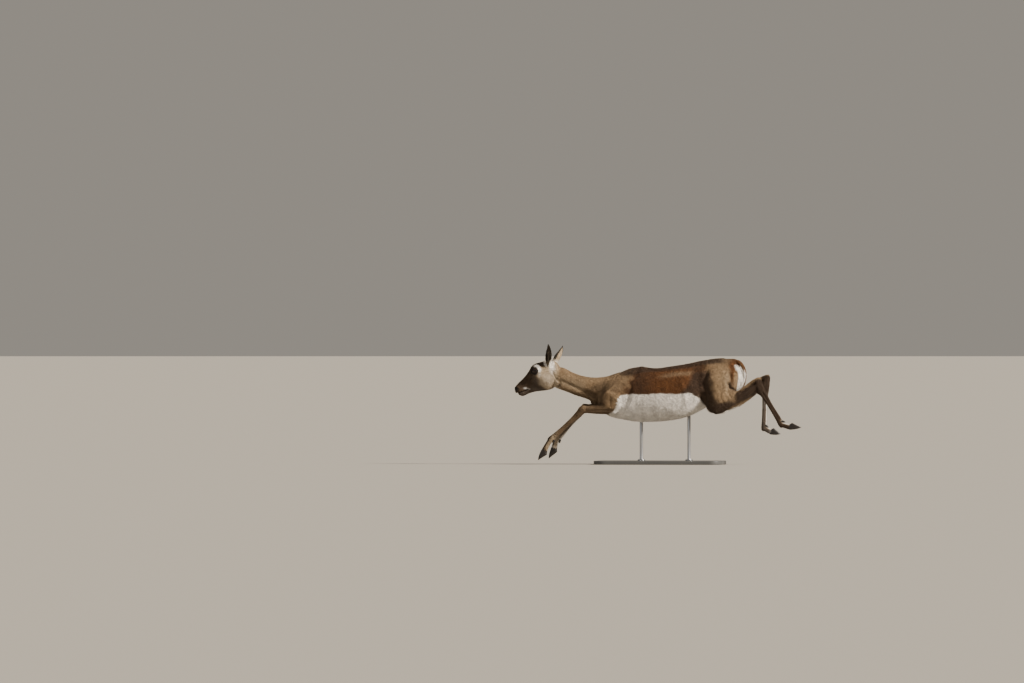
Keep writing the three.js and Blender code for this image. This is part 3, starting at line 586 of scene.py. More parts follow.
# Muscles, bones and folds that the skin shows, on both sides alike: a line of points, how wide the
# swelling or groove is, and its height. The height falls off as a bell of the distance to the line.
JAW_FOLD = ((-515, 38, 448), (-503, 38, 420), (-482, 34, 390), (-486, 22, 376))
THIGH_FOLD = ((338, 80, 388), (346, 78, 368), (374, 70, 358))  # where the thigh meets the bent shank
EYE_CORNER = ((-624, 28, 437), (-612, 33, 443))
GLAND_SLIT = ((-625, 28, 406), (-615, 32, 413))
NOSTRIL = ((-697, 7, 370), (-691, 12, 368), (-684, 15, 363))
BODY_FORMS = (
    (((196, 82, 392), (190, 80, 420)), 34, -13),  # the hollow of the flank
    (((160, 84, 450), (226, 70, 452)), 18, -5),
    (((232, 54, 480),), 15, 9),  # the point of the hip
    (((236, 50, 482), (330, 40, 492), (372, 30, 470)), 13, 3),
    (((372, 34, 440),), 18, 5),  # the pin bone
    (((250, 60, 470), (320, 64, 462)), 14, -4),
    (((-90, 0, 470), (60, 0, 472), (200, 0, 496), (300, 0, 508)), 11, 4),  # the spine
    (((-60, 36, 460), (60, 38, 462), (190, 40, 482)), 13, -4.5),
    (((-120, 32, 452), (-200, 68, 398), (-264, 78, 336)), 10, 7),  # the ridge of the shoulder blade
    (((-106, 54, 432), (-168, 80, 380), (-208, 86, 350)), 12, -5.5),
    (((-170, 44, 448), (-240, 66, 396), (-282, 62, 352)), 12, -5),
    (((-150, 66, 436), (-134, 82, 376), (-146, 84, 310), (-168, 78, 256)), 13, -11),  # behind the shoulder
    (((-244, 82, 340), (-194, 86, 318), (-184, 82, 282)), 17, 7),  # the triceps
    (((-232, 84, 322), (-232, 80, 284)), 8, -4.5),
    (((-268, 70, 330), (-262, 66, 296)), 12, 4),
    (((-296, 48, 336), (-302, 30, 280)), 12, -7),  # the groove before the shoulder
    (((-88, 82, 404), (-94, 86, 352)), 8, -1.2),  # ribs
    (((-56, 86, 408), (-62, 91, 350)), 8, -1.4),
    (((-22, 90, 412), (-26, 95, 352)), 8, -1.5),
    (((14, 92, 416), (12, 98, 354)), 8, -1.5),
    (((50, 92, 420), (50, 98, 356)), 8, -1.4),
    (((104, 88, 428), (120, 95, 366), (136, 84, 300)), 10, 3.5),  # the last rib
    (((206, 78, 336), (226, 62, 292)), 15, -10),  # the fold of the flank
    (((236, 62, 470), (222, 82, 396), (234, 84, 318)), 11, -7),  # before the thigh
    (((332, 62, 474), (350, 74, 404), (328, 86, 330)), 9, -2.5),  # between the muscles of the thigh
    (((290, 80, 446), (308, 92, 384), (300, 94, 320)), 8, -3.5),
    (((262, 92, 410), (266, 97, 330)), 24, 7),  # the front of the thigh
    (((358, 60, 440), (368, 66, 384), (356, 64, 334)), 13, 5),  # the back of the thigh
    (((-478, 31, 404), (-390, 33, 366), (-310, 40, 330)), 9, -6),  # the groove of the throat
    (((-470, 20, 378), (-390, 22, 344), (-310, 30, 308)), 11, 4),
    (((-470, 30, 436), (-380, 33, 402), (-300, 46, 396)), 15, 4),  # the crest of the neck
    (JAW_FOLD, 6, -8),
    (((280, 84, 344), (284, 87, 312), (300, 82, 276)), 4.5, -1.0),  # skin rippled over the thigh
    (((297, 88, 356), (300, 86, 322), (318, 80, 288)), 4.5, -1.4),
    (((318, 86, 350), (322, 83, 322), (342, 72, 296)), 4.5, -1.1),
    (((334, 81, 358), (342, 76, 332), (360, 66, 312)), 4.5, -1.3),
    (((-222, 78, 404), (-232, 82, 380), (-248, 82, 358)), 4.5, -1.8),  # and over the shoulder
    (((-196, 80, 412), (-206, 85, 384), (-224, 86, 362)), 4.5, -1.5),
    (((-170, 82, 416), (-180, 86, 392), (-198, 87, 366)), 4.5, -1.8),
    (THIGH_FOLD, 8, -6),
)
HEAD_FORMS = (
    (((-548, 43, 402),), 24, 4.0),  # the muscle of the cheek
    (((-592, 40, 428), (-560, 43, 444), (-538, 41, 452)), 5.5, 3.2),  # the cheek bone
    (((-606, 36, 420), (-632, 28, 398), (-648, 24, 384)), 6.5, 2.2),  # the crest of the face
    (((-634, 26, 374), (-610, 32, 380)), 12, -2.6),  # the hollow of the cheek
    (((-664, 12, 404), (-632, 13, 430)), 6, 1.8),  # the nasal bones
    (((-664, 20, 390), (-640, 23, 408)), 7, -2.2),
    (((-622, 20, 466), (-604, 25, 474), (-580, 30, 472)), 6.5, 3.0),  # the brow
    (((-562, 34, 474),), 12, -3.5),  # the temple
    (((-600, 0, 476), (-570, 0, 496)), 12, -2.0),  # the forehead
    (((-628, 27, 404), (-612, 32, 415)), 6.5, 2.2),  # the rim of the scent gland
    (GLAND_SLIT, 1.7, -5.0),
    (((-622, 29, 438), (-612, 33, 443)), 2.2, -2.2),  # the inner corner of the eye
    (((-668, 0, 331),), 11, 2.0),  # the chin
    (((-634, 25, 361),), 5, -2.0),  # the corner of the mouth
    (((-698, 5, 376), (-692, 12, 374), (-683, 15, 369)), 4.6, 2.4),  # the wing of the nostril
    (NOSTRIL, 2.4, -8.5),
    (((-702, 0, 368), (-700, 0, 348)), 1.4, -2.2),  # the groove below the nose
)


# The same for each leg, with its points as leg_point takes them. For every leg, for the hind legs and
# for the forelegs, a first table holds the forms that both sides of a leg have, and a second the rest.
LEG_FORMS = {
    "": (
        (
            (((1.2, 3, 11), (1.5, 3, 11), (1.85, 4, 11)), 3.4, -3.0),  # before the tendons
            (((1.2, 12, 4.4), (1.85, 14, 4.4)), 4, 1.4),  # the tendons
            (((1.95, -4, 11), (2.06, -2, 11)), 7, 1.6),  # the fetlock
        ),
        (
            (((2.1, -12, 0), (2.6, -13, 0), (3.05, -14, 0)), 2.4, -4.5),  # between the toes
            (((2.15, 14, 0), (2.6, 13, 0), (3.0, 15, 0)), 3.0, -4.5),
            (((2, 16, 8), (2, 16, -8)), 6, 2.0),  # the roots of the dewclaws
        ),
    ),
    "hind": (
        (
            (((0.64, 12, 18), (0.82, 15, 15), (0.93, 16, 14)), 7, -6.5),  # before the heel's tendon
            (((1.0, -4, 15), (1.1, -2, 14)), 6, 1.8),  # the hock
        ),
        (
            (((0.4, 20, 18), (0.6, 22, 14)), 9, -2.5),
            (((0.99, -18, 0), (1.1, -22, 0)), 9, 2.0),
            (((0.05, -34, 0),), 16, 3.0),  # the stifle
        ),
    ),
    "fore": (
        (
            (((0.2, 4, 18), (0.6, 5, 16), (0.9, 6, 14)), 5.5, -2.6),  # between the forearm's muscles
            (((0.98, -4, 14), (1.04, -2, 14)), 7, 1.8),  # the wrist
        ),
        (
            (((0.15, -14, 12), (0.5, -16, 8)), 10, 2.0),
            (((1.0, -17, 0), (1.06, -17, 0)), 10, 2.2),
            (((0.98, 17, 0),), 7, 3.0),
        ),
    ),
}


def leg_forms():
    """The forms of the legs as lines in millimetres, like those of the body."""
    forms = []
    for leg in LEGS:
        for start, (paired, single) in LEG_FORMS.items():
            if leg.startswith(start):
                for side, rows in ((-1, paired), (1, paired), (1, single)):
                    for line, width, push in rows:
                        spots = [leg_point(leg, along, back, aside * side) for along, back, aside in line]
                        forms.append((spots, width, push))
    return forms


def mouth_gap(points):
    """How far a point is above the line of the mouth, and how surely it is ahead of its corner."""
    line = np.array(MOUTH_LINE)[::-1]
    gap = (points[:, 2] - np.interp(points[:, 0], line[:, 0], line[:, 2])) * 0.94
    return gap, soft(-points[:, 0], 630, 637)


BELL_REACH = 2.4  # widths, past which a bell is left out


def relief(points):
    """How far the skin stands out at each point: the sum of all the bells, in millimetres."""
    right = folded(points)
    height = np.zeros(len(points))
    for forms, where in ((BODY_FORMS, right), (HEAD_FORMS, right), (leg_forms(), points)):
        for line, width, push in forms:
            ends = np.array(line, float)
            reach = BELL_REACH * width
            near = ((where > ends.min(0) - reach) & (where < ends.max(0) + reach)).all(1)
            height[near] += push * near_line(where[near], line, width)
    # The lips: a groove between two soft rolls, and the lower lip a little behind the upper.
    gap, ahead = mouth_gap(points)
    bell = lambda middle, width: np.exp(-(((gap - middle) / width) ** 2))
    height += ahead * (1.8 * bell(6.0, 4.2) + 1.5 * bell(-6.0, 4.2) - 5.0 * bell(0.0, 1.5))
    height -= 2.5 * soft(-points[:, 0], 676, 692) * soft(-gap, 1.0, 4.0)
    # The lids: a crease round each, deeper above.
    away = right - EYE
    gap = np.linalg.norm(away, axis=1)
    height -= (1.0 + 0.8 * soft(away[:, 2], -5, 15)) * np.exp(-(((gap - 22.0) / 1.5) ** 2))
    return height


HEAD_MIDDLE = np.array((-600.0, 0.0, 425.0))
HEAD_REACH = 135.0


def magnified(points, scale):
    """Space round the head made larger, so that an even mesh is finer there: radius r becomes r times
    scale as far as the head reaches, and past it r plus what that adds."""
    away = points - HEAD_MIDDLE
    r = np.linalg.norm(away, axis=1, keepdims=True)
    far = 1 + (scale - 1) * HEAD_REACH / np.maximum(r, 1e-9)
    return HEAD_MIDDLE + away * np.where(r < HEAD_REACH, scale, far)


def reduced(points, scale):
    """The way back from magnified space."""
    away = points - HEAD_MIDDLE
    r = np.linalg.norm(away, axis=1, keepdims=True)
    far = (r - (scale - 1) * HEAD_REACH) / np.maximum(r, 1e-9)
    return HEAD_MIDDLE + away * np.where(r < HEAD_REACH * scale, 1 / scale, far)


# Where a form's sides swell: how far, the bell's middle, and its reach along x and along z
TRUNK_SWELLS = (
    (3, -60, 320, 120, 80),  # the belly
    (5, 300, 450, 60, 34),  # the hip
)
HEAD_SWELLS = (
    (5, -601, 446, 32, 26),  # the eye
    (5, -548, 412, 36, 28),  # the cheek
    (2.5, -664, 338, 15, 9),  # the lower lip
    (2, -672, 360, 20, 9),  # the upper lip
    (-2, -636, 398, 26, 20),  # before the cheek
)


def swell_of(swells, x, z, lean, up):
    """How far a section's rim swells at a height on it: the sum of the bells in a table."""
    tilt = np.radians(lean)
    return sum(push * hump(x + up * np.sin(tilt), z + up * np.cos(tilt), *bell) for push, *bell in swells)


def flesh(depth):
    """Every form of the body, head and legs, inset by the coat's depth, before they become one."""
    thin = 0.6 * depth
    parts = [
        loft(TRUNK, (20, 12), depth, sides=96, swells=TRUNK_SWELLS),
        loft(NECK, (10, 20), depth, sides=80),
        loft(HEAD, (9, 22), thin, sides=96, per=8, swells=HEAD_SWELLS),
        loft(TAIL, (6, 3), 0.5 * depth, sides=32),
    ]
    for leg, (hand, _) in LEGS.items():
        fore = leg.startswith("fore")
        top, domes, girths = (SHOULDER, (14, 6), FORE_GIRTHS) if fore else (HAUNCH, (16, 8), HIND_GIRTHS)
        parts.append(loft(mirrored(top, hand), domes, depth))
        parts.append(loft(leg_rows(leg, girths), (14, 6), thin, sides=48))
        for aside in SIDES:
            parts.append(loft(leg_rows(leg, TOE, aside), (3, 1), 0.25 * depth, sides=32))
    for hand in SIDES:
        middle, gaze, along, across = eye_axes(hand)
        axes = (along, across, gaze)
        parts.append(ball(middle - gaze * SOCKET_BACK, axes, LID_SOCKET))
        upper = 1 if across[2] > 0 else -1
        parts.append(lid(middle, axes, LID_OPENING, LID_REACH, lambda u: 2.5 + 0.5 * upper * np.sin(u)))
    for name in EARS:
        parts.append(ear_shell(name))
    return joined(parts)


def evened(mesh, rounds, ease):
    """Moves each point towards the mean of its neighbours, by its own ease, for some rounds."""
    edges = np.empty(len(mesh.edges) * 2, np.int32)
    mesh.edges.foreach_get("vertices", edges)
    a, b = edges.reshape(-1, 2).T
    points = points_of(mesh)
    count = np.bincount(a, minlength=len(points)) + np.bincount(b, minlength=len(points))
    for _ in range(rounds):
        mean = np.stack(
            [
                np.bincount(a, points[b, k], len(points)) + np.bincount(b, points[a, k], len(points))
                for k in range(3)
            ],
            -1,
        )
        points += ease[:, None] * (mean / count[:, None] - points)
    put_points(mesh, points)


def body_ease(points):
    """How freely each point may be evened: freely on the body, little on the head, ears and feet."""
    _, _, _, shares = lie_of_coat(points)
    legs = sum(shares[leg] for leg in LEGS)
    high = soft(points[:, 2], 225, 290) * soft(np.abs(points[:, 0] - 30), 420, 330)
    ease = 0.5 * (shares["trunk"] + 0.6 * shares["neck"] + legs * high)
    return ease * soft(points[:, 0], -500, -430)


# Edges of the markings, seen from the side: places along x, and the height of the edge there
BELLY_EDGE = (
    (-330, -290, -250, -215, -196, -180, -100, 60, 150, 190, 215, 250, 300, 390),
    (200, 222, 236, 262, 318, 334, 338, 341, 342, 322, 290, 262, 300, 340),
)
BAND_MIDDLE = ((-160, -24, 149, 270), (402, 420, 440, 460))
NECK_MIDDLE = ((-480, -330), (404, 356))
# The top edge of the shoulder's shadow, painted low on the neck: places along x, and its height there
NECK_SHADOW_EDGE = ((-500, -444, -386, -340, -298, -249), (365, 355, 350, 372, 399, 409))
CROWN_EDGE = ((-640, -605, -580, -545, -515), (410, 467, 464, 467, 480))
# Heights, and the place of the edge along x there
# FACE_EDGE bounds the dark face: its own dark brown on the muzzle, and painted shade on the lower jaw
FACE_EDGE = ((335, 362, 384, 415, 440, 470), (-546, -554, -582, -592, -606, -618))
FLANK_FRONT = ((330, 470), (-186, -128))
# The thigh's cast shadow on the flank, painted: its front edge, the arc, and its back edge where the thigh
# begins
FLANK_SHADOW_EDGE = ((300, 327, 344, 378, 408, 438, 480), (66, 89, 106, 137, 150, 158, 164))
THIGH_SHADOW_BACK = ((250, 290, 340, 480), (306, 288, 266, 246))
# Heights up an ear, and how far from its middle line its edge is there
EAR_RIM = ((0, 30, 60, 90, 112), (9, 15, 17, 11, 2))
GAZE_BACK = 0.75  # the turn from x of the middle of the white arc behind the eye, in radians
MASKS = ("rich", "pale", "shade", "white", "black", "bare")


def leg_marks(points, shares, offset):
    """Masks of the legs, which are dark below the elbow and the stifle, the hind legs darker with painted
    shade: paler pasterns, the white inner side away from the knee, knees, the hair over the hooves, the
    dark, a dark stripe down the front of each foot, a thin white line behind the cannon's inner side,
    and white heels on the hind feet."""
    x, _, z = points.T
    found = []
    for leg, (hand, _) in LEGS.items():
        fore = leg.startswith("fore")
        own = soft(shares[leg], 0.22, 0.45)
        inward = own * soft(-hand * offset[:, 1], 1.0, 5.0)
        behind = offset @ unit(leg_point(leg, 1.5, 1) - leg_point(leg, 1.5))
        forward = offset @ unit(leg_point(leg, 2.5, -1) - leg_point(leg, 2.5))
        knee = np.linalg.norm(points - leg_point(leg, 1), axis=1)
        cannon = soft(-distance_to_line(points, leg_line(leg, 1, 2)), -44, -26)
        low = -distance_to_line(points, leg_line(leg, 2, 3))
        ring = (np.linalg.norm(points - leg_point(leg, 3.05), axis=1) / 15) ** 2
        if fore:
            free = soft(-z, -285, -262)
            foot = soft(low, -40, -16) * soft(forward, -1, 8)
            heel = 0 * low
        else:
            free = np.maximum(soft(-z, -318, -290), soft(x, 352, 380))
            foot = soft(low, -52, -22) * soft(forward, -9, -3)
            heel = own * soft(-forward, 6, 10) * soft(low, -26, -12)
        found.append(
            (
                soft(low, -28, -16),
                inward * free * (1 - 0.85 * cannon) * soft(knee, 40, 100),
                near_line(points, [leg_point(leg, 1.02, -16)], 22),
                np.exp(-(ring**2)),
                # The hind legs are darker than the forelegs: partly their own dark brown, partly painted
                # shade.
                own * free * (0.62 if fore else 0.97),
                own * foot,
                own * cannon * inward * soft(behind, 7, 11) * soft(knee, 50, 100),
                heel,
            )
        )
    return np.max(found, 0)


def face_marks(points, head, wander):
    """Masks of the face: a white arc above and behind the eye with small white marks, the dark crown,
    the dark from the brow by the eye to the back of the lower jaw, partly the face's own dark brown and
    partly painted shade, painted shade round the front and the underside of the eye, the pale cheek,
    and bare black skin on the nose, the lids and the edge of the mouth."""
    x, y, z = points.T
    side = np.abs(y)
    right = folded(points)
    bell = lambda *sizes: hump(x, z, *sizes)
    away = right - EYE
    eye_gap = np.linalg.norm(away, axis=1)
    toward = np.cos(np.arctan2(away[:, 2], away[:, 0]) - GAZE_BACK)
    eye_ring = soft(eye_gap, 19, 21) * soft(-eye_gap, -33, -26) * soft(toward, 0.2, 0.7)
    gap, ahead = mouth_gap(points)
    lips = (0.9 * bell(-649, 366, 7, 4) + 0.45 * bell(-633, 362, 7, 3.5)) * soft(side, 9, 15)
    chin = 0.04 * ahead * soft(-gap, 1, 4) * soft(x, -690, -680)
    throat = 0.06 * soft(-side, -34, -14) * soft(-z, -400, -372) * soft(x, -640, -600)
    behind_ear = 0.95 * bell(-520, 470, 11, 30) * soft(side, 14, 24)
    under_eye = 0.35 * bell(-580, 428, 9, 14) * soft(side, 20, 28)
    jaw = 0.15 * bell(-548, 408, 44, 36) * soft(side, 16, 28)
    white = np.maximum.reduce([eye_ring, lips, chin, throat, behind_ear, under_eye, jaw]) * head
    crown = soft(z - np.interp(x, *CROWN_EDGE), 0, 10) * soft(-x, 520, 535) * head
    # The dark face: the muzzle's own dark brown, and painted shade down the lower face and jaw.
    muzzle = soft(np.interp(z, *FACE_EDGE) - x + 2 * wander, -9, 11) * head
    # Painted shade round the front and underside of the eye, where the white eye ring is left out.
    eye_shade = soft(-eye_gap, -31, -22) * (1 - eye_ring) * soft(-toward, -0.5, 0.1) * head
    cheek = soft(-x, 470, 500) * head * (1 - crown) * (1 - muzzle)
    nose = soft(-x, 684, 690) * soft(gap, 5, 9) * soft(-z, -384, -378)
    nose = nose * soft(-(x + 700) - 0.9 * (z - 340), -40, -30)
    lids = soft(-eye_gap, -20.6, -19.4) * head
    mouth = 0.95 * (ahead * np.exp(-((gap / 1.9) ** 2)))
    corner, gland = 0.9 * near_line(right, EYE_CORNER, 2.6), 0.7 * near_line(right, GLAND_SLIT, 2.6)
    bare = np.maximum.reduce([nose, lids, corner, mouth, near_line(right, NOSTRIL, 5.0), gland])
    return white, crown, muzzle, eye_shade, cheek, bare


def ear_marks(points, shares):
    """Masks of the ears: the dark inside, its own dark skin deepened with painted shade, the dark edge
    and tip, rows of white hairs inside, and the white of the root."""
    found = []
    for name in EARS:
        root, up, sideways, out, length = ear_frame(name)
        away = points - root
        height, wide, front = away @ up, np.abs(away @ sideways), away @ out
        arc, roll, middle = ear_roll(np.clip(height / length, 0, 1), length)
        depth = arc / roll - np.hypot(wide, front - middle)
        own = soft(shares[name], 0.3, 0.7)
        rim = np.interp(height, *EAR_RIM)
        edge = own * soft(wide, rim - 7, rim - 3) * soft(height, 20, 40)
        rows = 0.6 * np.exp(-(((wide - 0.5 * rim) / 2.2) ** 2)) + 0.6 * np.exp(-((wide / 1.6) ** 2))
        found.append(
            (
                own * soft(depth, 0.9, 1.6) * soft(height, 8, 26),
                np.maximum(edge, own * soft(height, 94, 106)),
                rows * soft(-height, -92, -60),
                own * soft(-height, -40, -18) * soft(-depth, -1, 0),
            )
        )
    return np.max(found, 0)


def markings(points, shares, offset):
    """The coat's masks, 0 to 1, from places in millimetres, under the names in MASKS."""
    x, y, z = points.T
    side = np.abs(y)
    right = folded(points)
    wander = 1.6 * np.sin(x / 23 + 1.3) + 1.0 * np.sin(x / 7.3 + z / 11) + 0.8 * np.sin(z / 8.1 + y / 9)
    bell = lambda *sizes: hump(x, z, *sizes)
    hind = shares["hindleg_left"] + shares["hindleg_right"]
    tail = shares["tail"]
    ears = shares["ear_left"] + shares["ear_right"]
    head = soft(-x, 470, 500) * (1 - ears)
    below, inner, knees, coronet, brown, stripe, piping, heel = leg_marks(points, shares, offset)
    face_white, crown, muzzle, eye_shade, cheek, bare = face_marks(points, head, wander)
    ear_inside, ear_edge, ear_rows, ear_foot = ear_marks(points, shares)

    # The white belly ends in a sharp line along the middle of the side, and the legs hide its ends.
    belly = soft(np.interp(x, *BELLY_EDGE) + wander - z, -3, 4) * soft(x, -330, -290) * soft(-x, -395, -330)
    outer_thigh = soft(side, 46, 64) * soft(x, 206, 226)
    outer_arm = soft(side, 66, 78) * soft(-x, 196, 214)
    belly = belly * (1 - outer_thigh) * (1 - outer_arm)

    # The rump is white between the thighs, and the tail is white below and at its edges.
    rump = soft(x, 358, 368) * soft(z, 346, 366) * soft(-z, -484, -470) * soft(-side, -46, -36)
    rump = rump * (1 - tail)
    tail_edge = tail * np.maximum(soft(-offset[:, 0], 0.5, 3.5), soft(side, 9, 12)) * soft(-z, -462, -436)
    back_tail = tail * (1 - tail_edge)
    fringe = ear_inside * ear_rows * (1 - ear_edge)
    white = np.maximum.reduce(
        [
            # The belly's white is held at 0.8 over pale: painted shade on the underside.
            0.8 * belly,
            inner * (0.3 + 0.5 * soft(z, 230, 330)),
            0.8 * piping,
            0.7 * heel,
            rump,
            tail_edge,
            face_white,
            0.45 * fringe,
            0.75 * ear_foot,
        ]
    )

    # The flank is a rich brown under a faint paler band, and so are the croup and the tail's back.
    band_at = np.interp(x, *BAND_MIDDLE)
    band = np.exp(-(((z - band_at + wander) / 10) ** 2)) * soft(x, -30, 50) * soft(-x, -180, -140)
    start = np.interp(z, *FLANK_FRONT) + 6 * wander
    flank = soft(x, start - 20, start + 36) * soft(-x + 5 * wander, -268, -192) * soft(z, 326, 344)
    croup = 1.3 * bell(362, 484, 30, 32) + 1.0 * bell(352, 425, 12, 60) * soft(side, 30, 40)
    croup = np.clip(croup, 0, 1)
    side_brown = flank * (1 - 0.3 * band) * (1 - hind * soft(x, 206, 262))
    rich = np.maximum.reduce([side_brown, croup * (1 - rump), 0.85 * back_tail])

    # The middle of the neck, the cheeks, the back of the thigh, the pasterns and the ears are pale.
    neck = np.exp(-(((z - np.interp(x, *NECK_MIDDLE)) / 30) ** 2))
    pale = np.maximum.reduce(
        [
            0.2 * band,
            0.45 * (soft(shares["neck"], 0.3, 0.9) * neck),
            0.72 * cheek,
            0.9 * belly,
            0.45 * (bell(338, 400, 30, 60) * soft(side, 30, 50) * (1 - croup)),
            0.6 * below * (1 - stripe),
            # The ears' backs are pale, partly their own colour and partly painted light, as if the sun shone
            # through.
            0.9 * (soft(ears, 0.3, 0.7) * (1 - ear_inside)),
        ]
    )

    # The back is dark. Before an arc across the flank the brown is painted in shade, except for a sunlit part
    # from the middle of the flank up to the arc; behind the arc the thigh's cast shadow is painted darkest,
    # as far as the thigh. Painted shade also lies in the folds of the jaw and the thigh, and the shoulder's
    # shadow is painted low on the neck before the shoulder.
    back = soft(x, -235, -170) * soft(-x, -350, -280) * soft(z - band_at, 12, 34)
    ridge = 0.5 * soft(-side, -30, -8) * soft(x, -330, -220) * soft(z, 400, 430)
    # The arc is the edge of the thigh's shadow on the flank: a sunlit part lies before it, the painted shadow
    # behind it.
    arc = np.interp(z, *FLANK_SHADOW_EDGE)
    sunlit_patch = soft(x, -100, 10) * soft(arc - x, -4, 8)
    thigh_shadow = soft(x - arc, -3, 14) * soft(np.interp(z, *THIGH_SHADOW_BACK) - x + 3 * wander, -20, 22)
    thigh_shadow = thigh_shadow * soft(-z, -478, -430) * (1 - belly)
    thigh_fold_shade = near_line(right * (1, 0, 1), np.array(THIGH_FOLD) * (1, 0, 1), 8)
    neck_shadow = soft(np.interp(x, *NECK_SHADOW_EDGE) - z, -6, 14) * soft(x, -500, -450) * soft(-x, 244, 262)
    shade = np.maximum.reduce(
        [
            0.9 * back,
            ridge * shares["trunk"],
            0.9 * muzzle,
            0.95 * crown,
            0.9 * eye_shade,
            0.4 * knees,
            brown * (1 - 0.6 * below) * (1 - 0.5 * inner) * (1 - piping),
            0.95 * stripe,
            # Painted shade in the crease behind the jaw and in the fold where the thigh meets the shank.
            0.6 * near_line(right, JAW_FOLD, 5),
            0.95 * thigh_fold_shade * soft(side, 40, 55),
            # Painted shade on the flank, lighter in the sunlit part before the arc.
            (0.66 - 0.5 * sunlit_patch) * flank * (1 - 0.6 * band) * (1 - hind),
            # The thigh's painted cast shadow behind the arc.
            0.92 * thigh_shadow,
            # Two bells darken the coat behind the withers and over the shoulder; the shoulder's is painted
            # shade.
            0.45 * bell(-90, 440, 60, 40) + 0.45 * bell(-205, 372, 46, 54),
            # The shoulder's painted shadow low on the neck, and the croup's darker top.
            0.5 * neck_shadow + 0.5 * bell(300, 506, 70, 20),
        ]
    )
    # The inside of the ears is near black: dark skin with painted shade.
    dark_ear = np.maximum(0.95 * ear_edge, 0.88 * ear_inside * (1 - 0.7 * fringe))
    black = np.maximum.reduce([bare, dark_ear, 0.75 * coronet])
    return {key: np.clip(mask, 0, 1) for key, mask in zip(MASKS, (rich, pale, shade, white, black, bare))}


def feed(tree, node, inputs):
    """Gives a node's inputs their values, or links them where the value is another node's socket."""
    for key, value in inputs.items():
        if isinstance(value, bpy.types.NodeSocket):
            tree.links.new(value, node.inputs[key])
        else:
            node.inputs[key].default_value = value
    return node


def add_node(tree, kind, inputs, output=0, **settings):
    """Adds a shader node with its settings, feeds its inputs, and gives the output that is asked for."""
    node = tree.nodes.new("ShaderNode" + kind)
    for key, value in settings.items():
        setattr(node, key, value)
    return feed(tree, node, inputs).outputs[output]


def new_material(name, inputs):
    """A material whose shader has these inputs: (material, tree, shader)."""
    material = bpy.data.materials.new(name)
    material.use_nodes = True
    tree = material.node_tree
    return material, tree, feed(tree, tree.nodes["Principled BSDF"], inputs)


def coat_material(name, settings, hair):
    """Short antelope hair: dull, streaked along its lie, each tuft a little lighter or darker. On the
    skin the streaks are bump and colour, from noise drawn out eleven times along the bones."""
    dull = {"Specular IOR Level": 0.16, "Sheen Weight": 0.03, "Sheen Roughness": 0.5}
    material, tree, shader = new_material(name, dull)
    tint = tuple(settings.fawn)
    for key in MASKS[:-1]:
        mask = add_node(tree, "Attribute", {}, "Fac", attribute_name=key)
        paint = tuple(getattr(settings, key))
        tint = add_node(tree, "Mix", {0: mask, 6: tint, 7: paint}, 2, data_type="RGBA")
    across = add_node(tree, "Attribute", {}, "Vector", attribute_name="across")
    along = add_node(tree, "Attribute", {}, "Fac", attribute_name="along")
    # Strands are drawn about 2 mm wide, some ten times the real hair, so that they show.
    strands = {"Scale": 1.0, "Detail": 3.0, "Roughness": 0.62, "Vector": across, "W": along}
    streak = add_node(tree, "TexNoise", strands, noise_dimensions="4D")
    place = add_node(tree, "TexCoord", {}, "Object")
    cloud = add_node(tree, "TexNoise", {"Scale": 30.0, "Detail": 5.0, "Vector": place})
    tone = add_node(tree, "Attribute", {}, "Fac", attribute_name="tone")
    level = add_node(tree, "Math", {0: tone if hair else streak, 1: cloud}, operation="ADD")
    spread = {"Value": level, "From Min": 0.6, "From Max": 1.4, "To Min": 0.66, "To Max": 1.34}
    light = add_node(tree, "MapRange", spread)
    tint = add_node(tree, "VectorMath", {0: tint, "Scale": light}, operation="SCALE")
    # Bare skin is damp and shinier than hair.
    bare = add_node(tree, "Attribute", {}, "Fac", attribute_name="bare")
    rough = add_node(tree, "MapRange", {"Value": bare, "To Min": 0.75, "To Max": 0.36})
    feed(tree, shader, {"Base Color": tint, "Roughness": rough})
    if not hair:
        bump = add_node(tree, "Bump", {"Height": streak, "Strength": 0.9, "Distance": 0.0018})
        feed(tree, shader, {"Normal": bump})
    return material


def hoof_material(settings):
    """Horn, which grows in fine rings down the hoof: black and softly shiny, with ring bump."""
    material, tree, shader = new_material("hoof_horn", {"Roughness": 0.38, "Specular IOR Level": 0.5})
    along = add_node(tree, "Attribute", {}, "Fac", attribute_name="along")
    # One unit of this attribute is a growth ring.
    rings = add_node(tree, "TexNoise", {"Scale": 1.0, "Detail": 2.0, "W": along}, noise_dimensions="1D")
    place = add_node(tree, "TexCoord", {}, "Object")
    grain = add_node(tree, "TexNoise", {"Scale": 260.0, "Detail": 3.0, "Vector": place})
    tint = tuple(settings.horn)
    for mask, paint in ((rings, "#2e2721"), (grain, "#14110f")):
        tint = add_node(tree, "Mix", {0: mask, 6: tint, 7: colour(paint)}, 2, data_type="RGBA")
    bump = add_node(tree, "Bump", {"Height": rings, "Strength": 0.4, "Distance": 0.0004})
    feed(tree, shader, {"Base Color": tint, "Normal": bump})
    return material


